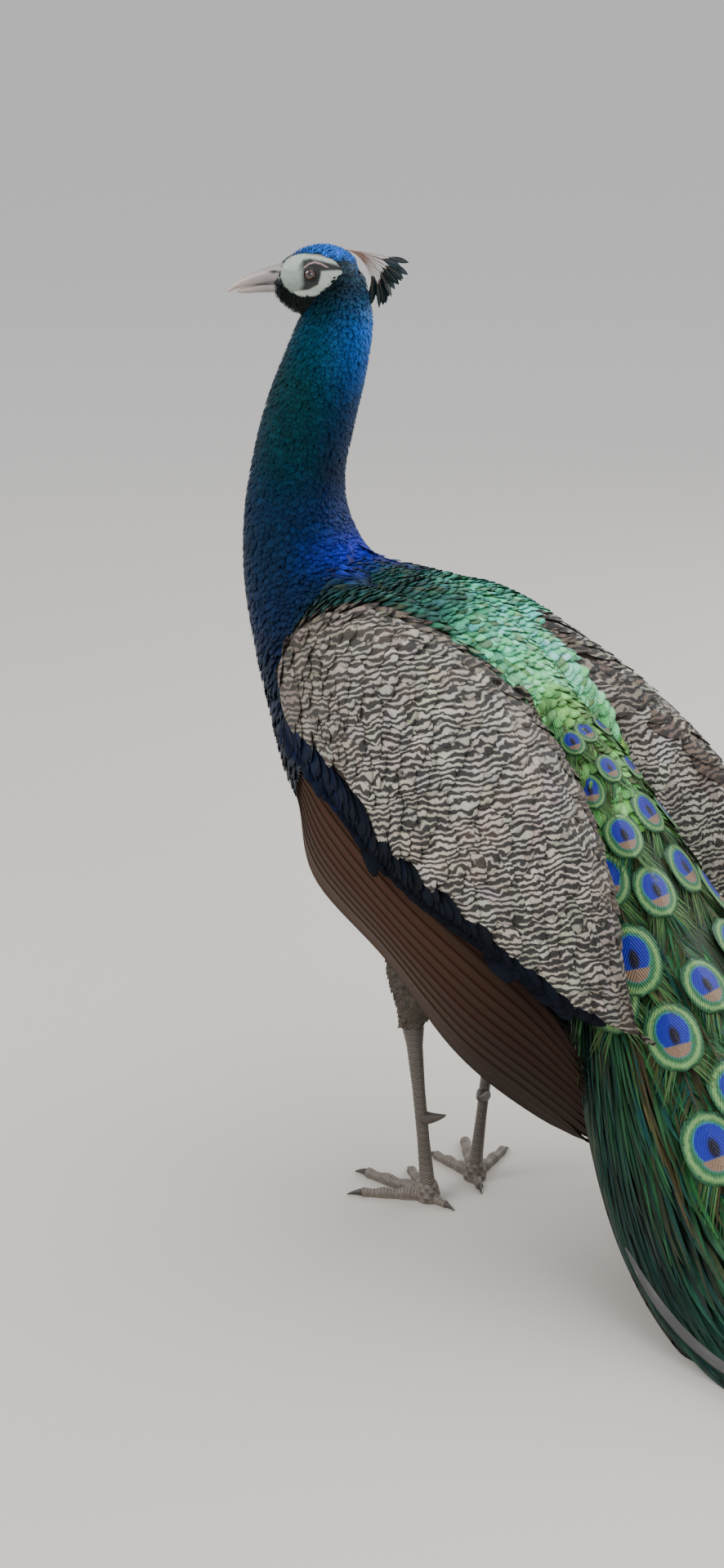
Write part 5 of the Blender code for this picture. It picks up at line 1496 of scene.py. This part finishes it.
shaft = np.stack([middle - sideways * 0.0007, middle + normal * 0.0005, middle + sideways * 0.0007], 2)
shaft = shaft + normal[:, :, None] * 0.0004
shaft = over_floor(shaft, FLOOR_CLEAR + 0.001)[:, :vane_from + 3]
shaft_vane = vane_places(np.array([-1, 0, 1.0]), share[:vane_from + 3, None], count)
on_train = train_places(tips)
coat("train_shafts", [(shaft, shaft_vane, np.tile(SHAFT_OLIVE, (count, 1)), on_train)],
     barb_finish, "green_plumage")

spots = np.arange(1, PLUME_STEPS - 3)
near_eye = np.exp(-((spots - (PLUME_STEPS - 8)) / 6.0) ** 2)[None, :, None]
at_edge = np.clip((np.abs(walk[:, spots, 1]) - 0.72) / 0.2, 0, 1)[..., None]
q = np.linspace(0, 1, 4)[None, None, :, None]
for side, name in ((1, "left"), (-1, "right")):
    grids = []
    head_on, off_side, up = (axis[:, spots][:, :, None] for axis in (ahead, sideways * side, normal))
    for _ in range(BARBS_AT_A_STEP):
        angle = chances.uniform(0.50, 0.86, (count, len(spots), 1))
        reach = BARB_LENGTH * (0.85 + 0.35 * near_eye) * size[:, None, None]
        reach = reach * chances.uniform(0.8, 1.15, angle.shape)
        further = chances.uniform(0, 1, angle.shape) * step[:, None, None]
        start = middle[:, spots] + ahead[:, spots] * further
        reach, angle = reach[..., None], angle[..., None]
        curve = start[:, :, None] + reach * (q * (head_on * np.cos(angle) + off_side * np.sin(angle))
                                             + 0.22 * q**2 * head_on)
        droop = chances.uniform(0.002, 0.0080, reach.shape) * each_size
        curve = curve - up * (droop * q**2) - up * 0.0014
        wide = BARB_HALF * (1 - 0.8 * q) * (0.6 + 0.4 * each_size)
        across = -head_on * np.sin(angle) + off_side * np.cos(angle)
        ribbon = over_floor(np.stack([curve - across * wide, curve + across * wide], 3))
        over_edge = np.maximum(np.abs(ribbon[..., 1]) - WIDEST, 0)
        ribbon[..., 1] -= np.sign(ribbon[..., 1]) * (over_edge - EDGE_SPARE * np.tanh(over_edge / EDGE_SPARE))
        mood = chances.random((count, len(spots), 1)) * 0.6 + chances.random((count, 1, 1)) * 0.4
        warm = np.clip(near_eye * 0.9 * (mood > 0.3), 0, 1) * (1 - at_edge)
        colours = three_greens(mood, 0.42, 0.22) * (1 - warm) * (1 - 0.45 * at_edge)
        ribbons = ribbon.reshape(-1, 4, 2, 3)
        vane = vane_places(np.array([-1.0, 1.0]), q[0, 0], len(ribbons))
        colours = varied((colours + np.array(GOLD_GREEN) * warm).reshape(-1, 3), 0.18)
        grids.append((ribbons, vane, colours, np.repeat(on_train, len(spots), 0)))
    coat(f"train_barbs_{name}", grids, barb_finish, "green_plumage")

both = np.ones(2)
points, vanes = strips(train, SWORD_FROM * both, SWORD_TO * both, SWORD_AT, SWORD_HALF * both, SWORD_BASE,
                       0.0, 0.0008, steps=80)
shells("train_swords", over_floor(points), vanes, np.full((2, 3), 0.42),
       plumage("sword feathers", 0.0, 0.6, 0.35, 0.3, barbs=420), "barred_plumage")

# ------------------------------------------------------------------ Tail
# Eighteen stiff brown tail feathers prop the train from below, in a shallow
# fan with mottled vanes.
TAIL = np.array([  # x, height, half width, droop at the sides
    (0.165, 0.280, 0.030, 0.006),
    (0.235, 0.205, 0.050, 0.014),
    (0.310, 0.128, 0.066, 0.018),
    (0.390, 0.060, 0.080, 0.016),
    (0.460, 0.024, 0.088, 0.008),
])
TAIL_COUNT, TAIL_THICK, TAIL_ROUNDING = 18, 0.0009, 0.03
TAIL_DARK, TAIL_PALE = (0.060, 0.042, 0.028), (0.170, 0.125, 0.085)


def tail(t, a):
    """The tail's upper face: a fan whose height falls by the droop times a squared."""
    t, a = np.broadcast_arrays(t, a)
    x, high, wide, droop = np.moveaxis(through(TAIL, t), -1, 0)
    return np.stack([x - TAIL_ROUNDING * a**2 * t / 4, -wide * a, high - droop * a**2], -1)


tail_finish = Finish("tail plumage", roughness=0.6)
u, s, chance = tail_finish.split(tail_finish.read("vane"))
mottle = tail_finish.noise(tail_finish.join(u * 2.0, s * 14.0, chance * 20), 3.0, 3.0)
tail_finish.colour(tail_finish.mix(mottle.step(0.42, 0.60), TAIL_DARK, TAIL_PALE))
tail_finish.bump(((abs(u) * 1.5 - s * 8.0) * 50).sine(), 0.0002)
rank = np.linspace(-0.93, 0.93, TAIL_COUNT)
points, vanes = strips(tail, 0 * rank, 4.0 - 0.1 * np.abs(rank), rank, 0.10 + 0 * rank,
                       -0.002 - 0.0035 * np.abs(rank), 0.001, TAIL_THICK)
shells("tail_coat", over_floor(points), vanes, np.tile([[0.1, 0.07, 0.05]], (TAIL_COUNT, 1)), tail_finish,
       "brown_plumage", "tail")

# ------------------------------------------------------------------ Legs and feet
# Bare scaled shanks: a ladder of plates in front, small scales behind, a spur
# on the inner back edge. Three toes forward and a short one behind, each with
# plates on top, pads below and a worn dark claw.
ANKLE_HEIGHT = 0.020
SHANK_AT = (0.0, 0.06, 0.16, 0.40, 0.70, 0.90, 1.0)  # hock to foot
SHANK_FORE = (0.0098, 0.0104, 0.0078, 0.0062, 0.0060, 0.0070, 0.0076)
SHANK_SIDE = (0.0086, 0.0090, 0.0064, 0.0050, 0.0048, 0.0058, 0.0070)
PLATE_PITCH, PLATE_RISE, SMALL_PITCH = 0.0062, 0.00055, 0.0031
TOES = {  # turn from the foot's heading, length, radius, claw, rings of the mesh, joints
    "middle": (0.0, 0.074, 0.0068, 0.017, 150, 3),
    "inner": (math.radians(-34), 0.056, 0.0062, 0.015, 150, 3),
    "outer": (math.radians(33), 0.062, 0.0060, 0.015, 150, 3),
    "back": (math.radians(176), 0.023, 0.0048, 0.012, 60, 2),
}
SPUR_HEIGHT, SPUR_LENGTH, SPUR_RADIUS, SPUR_TURN = 0.078, 0.024, 0.0072, math.radians(22)
LEG_SKIN, LEG_GROOVE_SHADE, PAD_SKIN = (0.215, 0.180, 0.150), (0.060, 0.048, 0.040), (0.280, 0.235, 0.190)
SPUR_HORN, CLAW_DARK = (0.065, 0.050, 0.040), (0.05, 0.04, 0.03)
CLAW_GRAIN_DARK, CLAW_GRAIN_WORN = (0.022, 0.018, 0.015), (0.075, 0.060, 0.048)
PAD_RADIUS = ((0, 0.0105), (0.35, 0.0112), (0.75, 0.0090), (1.0, 0.0074))

leg_finish = grained("leg skin", 0.72, 0.56, 700, 3.0, 0.0003, roughness=0.5)
claw_finish = Finish("claw", roughness=0.35)
claw_grain = claw_finish.noise(claw_finish.place(), 500, 3.0)
claw_finish.colour(claw_finish.mix(claw_grain, CLAW_GRAIN_DARK, CLAW_GRAIN_WORN))
claw_finish.bump(claw_grain, 0.0002)


def plates(travel, around, pitch, band):
    """Height, 0 to 1, of overlapping plates: each rises slowly along the limb and drops at its end;
    narrower scales, half a pitch on, cover what lies beyond `band` from the front. `around` is 0 in
    front."""
    front = np.clip((band - np.abs(around)) / 0.12, 0, 1)
    plate = (travel / pitch) % 1.0
    small = (travel / (pitch * 0.5) + 0.5 * np.floor(around / 0.45)) % 1.0
    return front * plate**0.7 * (plate < 0.93) + (1 - front) * 0.7 * small**0.7 * (small < 0.88)


def limb(path, fore, side_way, ahead, up, travel, pitch, band, floor_at=None):
    """A tube along a path: rings in the plane of `ahead` and `up`, raised by their plates; and its stain,
    darker as painted shade in the low part of each plate.
    """
    ring = np.linspace(-np.pi, np.pi, 28, endpoint=False)
    relief = plates(travel[:, None], ring, pitch, band)
    grow = 1 + relief * PLATE_RISE / np.maximum(fore[:, None], 0.002)
    points = (path[:, None] + ahead * (fore[:, None] * grow * np.cos(ring))[..., None]
              + up * (side_way[:, None] * grow * np.sin(ring))[..., None])
    if floor_at is not None:
        points = over_floor(points, floor_at)
    # Painted shade: the low part of each plate, behind the step of the one before, takes the dark groove
    # colour.
    return points, between(LEG_GROOVE_SHADE, LEG_SKIN, np.clip(relief * 1.6, 0, 1)[..., None])


def leg_piece(name, parts, finish, slot, *replaced):
    """Joins tubes, each closed at both ends, into one stained mesh."""
    points, quads, tints, used = [], [], [], 0
    for tube, tint in parts:
        rows, columns = tube.shape[:2]
        points.append(ends_closed(tube).reshape(-1, 3))
        tints.append(np.broadcast_to(tint, tube.shape).reshape(-1, 3))
        quads.append(grid_quads(1, rows, columns, closed=True) + used)
        used += rows * columns
    mesh = mesh_of(name, np.concatenate(points), np.concatenate(quads))
    stain(mesh, np.concatenate(tints))
    piece(name, mesh, finish, slot, *replaced)


upward = np.array([0, 0, 1.0])
for name, leg in LEGS.items():
    side, turn = leg["side"], leg["turn"]
    ground = np.array([leg["foot"][0], side * leg["foot"][1], 0.0])
    knee = np.array([leg["hock"][0], side * leg["hock"][1], HOCK_HEIGHT + 0.004])
    ankle = ground + [0, 0, 0.010]
    front = np.array([-math.cos(turn), side * math.sin(turn), 0.0])
    across = np.array([front[1], -front[0], 0.0])
    down = np.linspace(0, 1, 260)
    shank, shank_tint = limb(knee + (ankle - knee) * down[:, None], np.interp(down, SHANK_AT, SHANK_FORE),
                             np.interp(down, SHANK_AT, SHANK_SIDE), front, across,
                             down * np.linalg.norm(ankle - knee), PLATE_PITCH, 1.05)
    shank_tint = shank_tint * np.interp(down, (0, 0.8, 1), (0.55, 0.60, 1))[:, None, None]

    inward = np.array([math.cos(turn + SPUR_TURN), -side * math.sin(turn + SPUR_TURN), 0.0])
    reach = np.linspace(0, 1, 20)
    spur_at = ankle + (knee - ankle) * (SPUR_HEIGHT / HOCK_HEIGHT)
    spur_path = spur_at + inward * (reach * SPUR_LENGTH)[:, None] + upward * (0.006 * reach**2)[:, None]
    spur_radius = SPUR_RADIUS * np.maximum(1.02 - reach, 0.02) ** 0.7
    spur, _ = limb(spur_path, spur_radius, spur_radius, np.cross(inward, upward), upward, 0 * reach, 1.0, 9.0)

    rise = np.linspace(0, 1, 16)
    pad_radius = graded(PAD_RADIUS, rise)
    pad = limb(ground + rise[:, None] * [0, 0, ANKLE_HEIGHT], pad_radius, pad_radius, front, across,
               rise * ANKLE_HEIGHT, SMALL_PITCH, 1.2)
    parts = [(shank, shank_tint), (spur, np.array(SPUR_HORN)), pad]

    for toe, (spread_turn, toe_length, radius, claw_length, steps, joints) in TOES.items():
        heading = turn + spread_turn
        ahead = np.array([-math.cos(heading), side * math.sin(heading), 0.0])
        beside = np.cross(upward, ahead)
        on = np.linspace(0, 1, steps)
        radii = radius * (1 - 0.36 * on) * (1 + 0.10 * np.cos(on * 2 * np.pi * joints))
        lift = np.maximum(radii * 0.86, (1 - on * 2.2) * radius * 1.25)
        toe_path = ground + np.outer(on * toe_length, ahead) + np.outer(lift, upward)
        tube, tint = limb(toe_path, radii, radii, upward, beside, on * toe_length, SMALL_PITCH, 1.1, 0.0)
        below = np.clip((lift[:, None] * 0.75 - tube[..., 2]) / 0.002, 0, 1)[..., None]
        parts.append((tube, between(tint, PAD_SKIN, below)))

        curl = np.linspace(0, 1, 24)
        claw_radius = radii[-1] * 0.84 * (1 - 0.88 * curl**1.2)
        end = ground + ahead * (toe_length - 0.001) + [0, 0, radii[-1] * 0.9]
        drop = (end[2] - claw_radius[-1]) * curl**1.7
        claw_path = end + np.outer(curl * claw_length, ahead) - np.outer(drop, upward)
        claw, _ = limb(claw_path, claw_radius, claw_radius * 0.8, upward, beside, 0 * curl, 1.0, 9.0, 0.0)
        leg_piece(f"claw_horn_{name}_{toe}", [(claw, np.array(CLAW_DARK))], claw_finish, "claw",
                  f"claw_{name}_{toe}")
    leg_piece(f"leg_skin_{name}", parts, leg_finish, "scaled_skin", f"shank_{name}", f"foot_{name}")
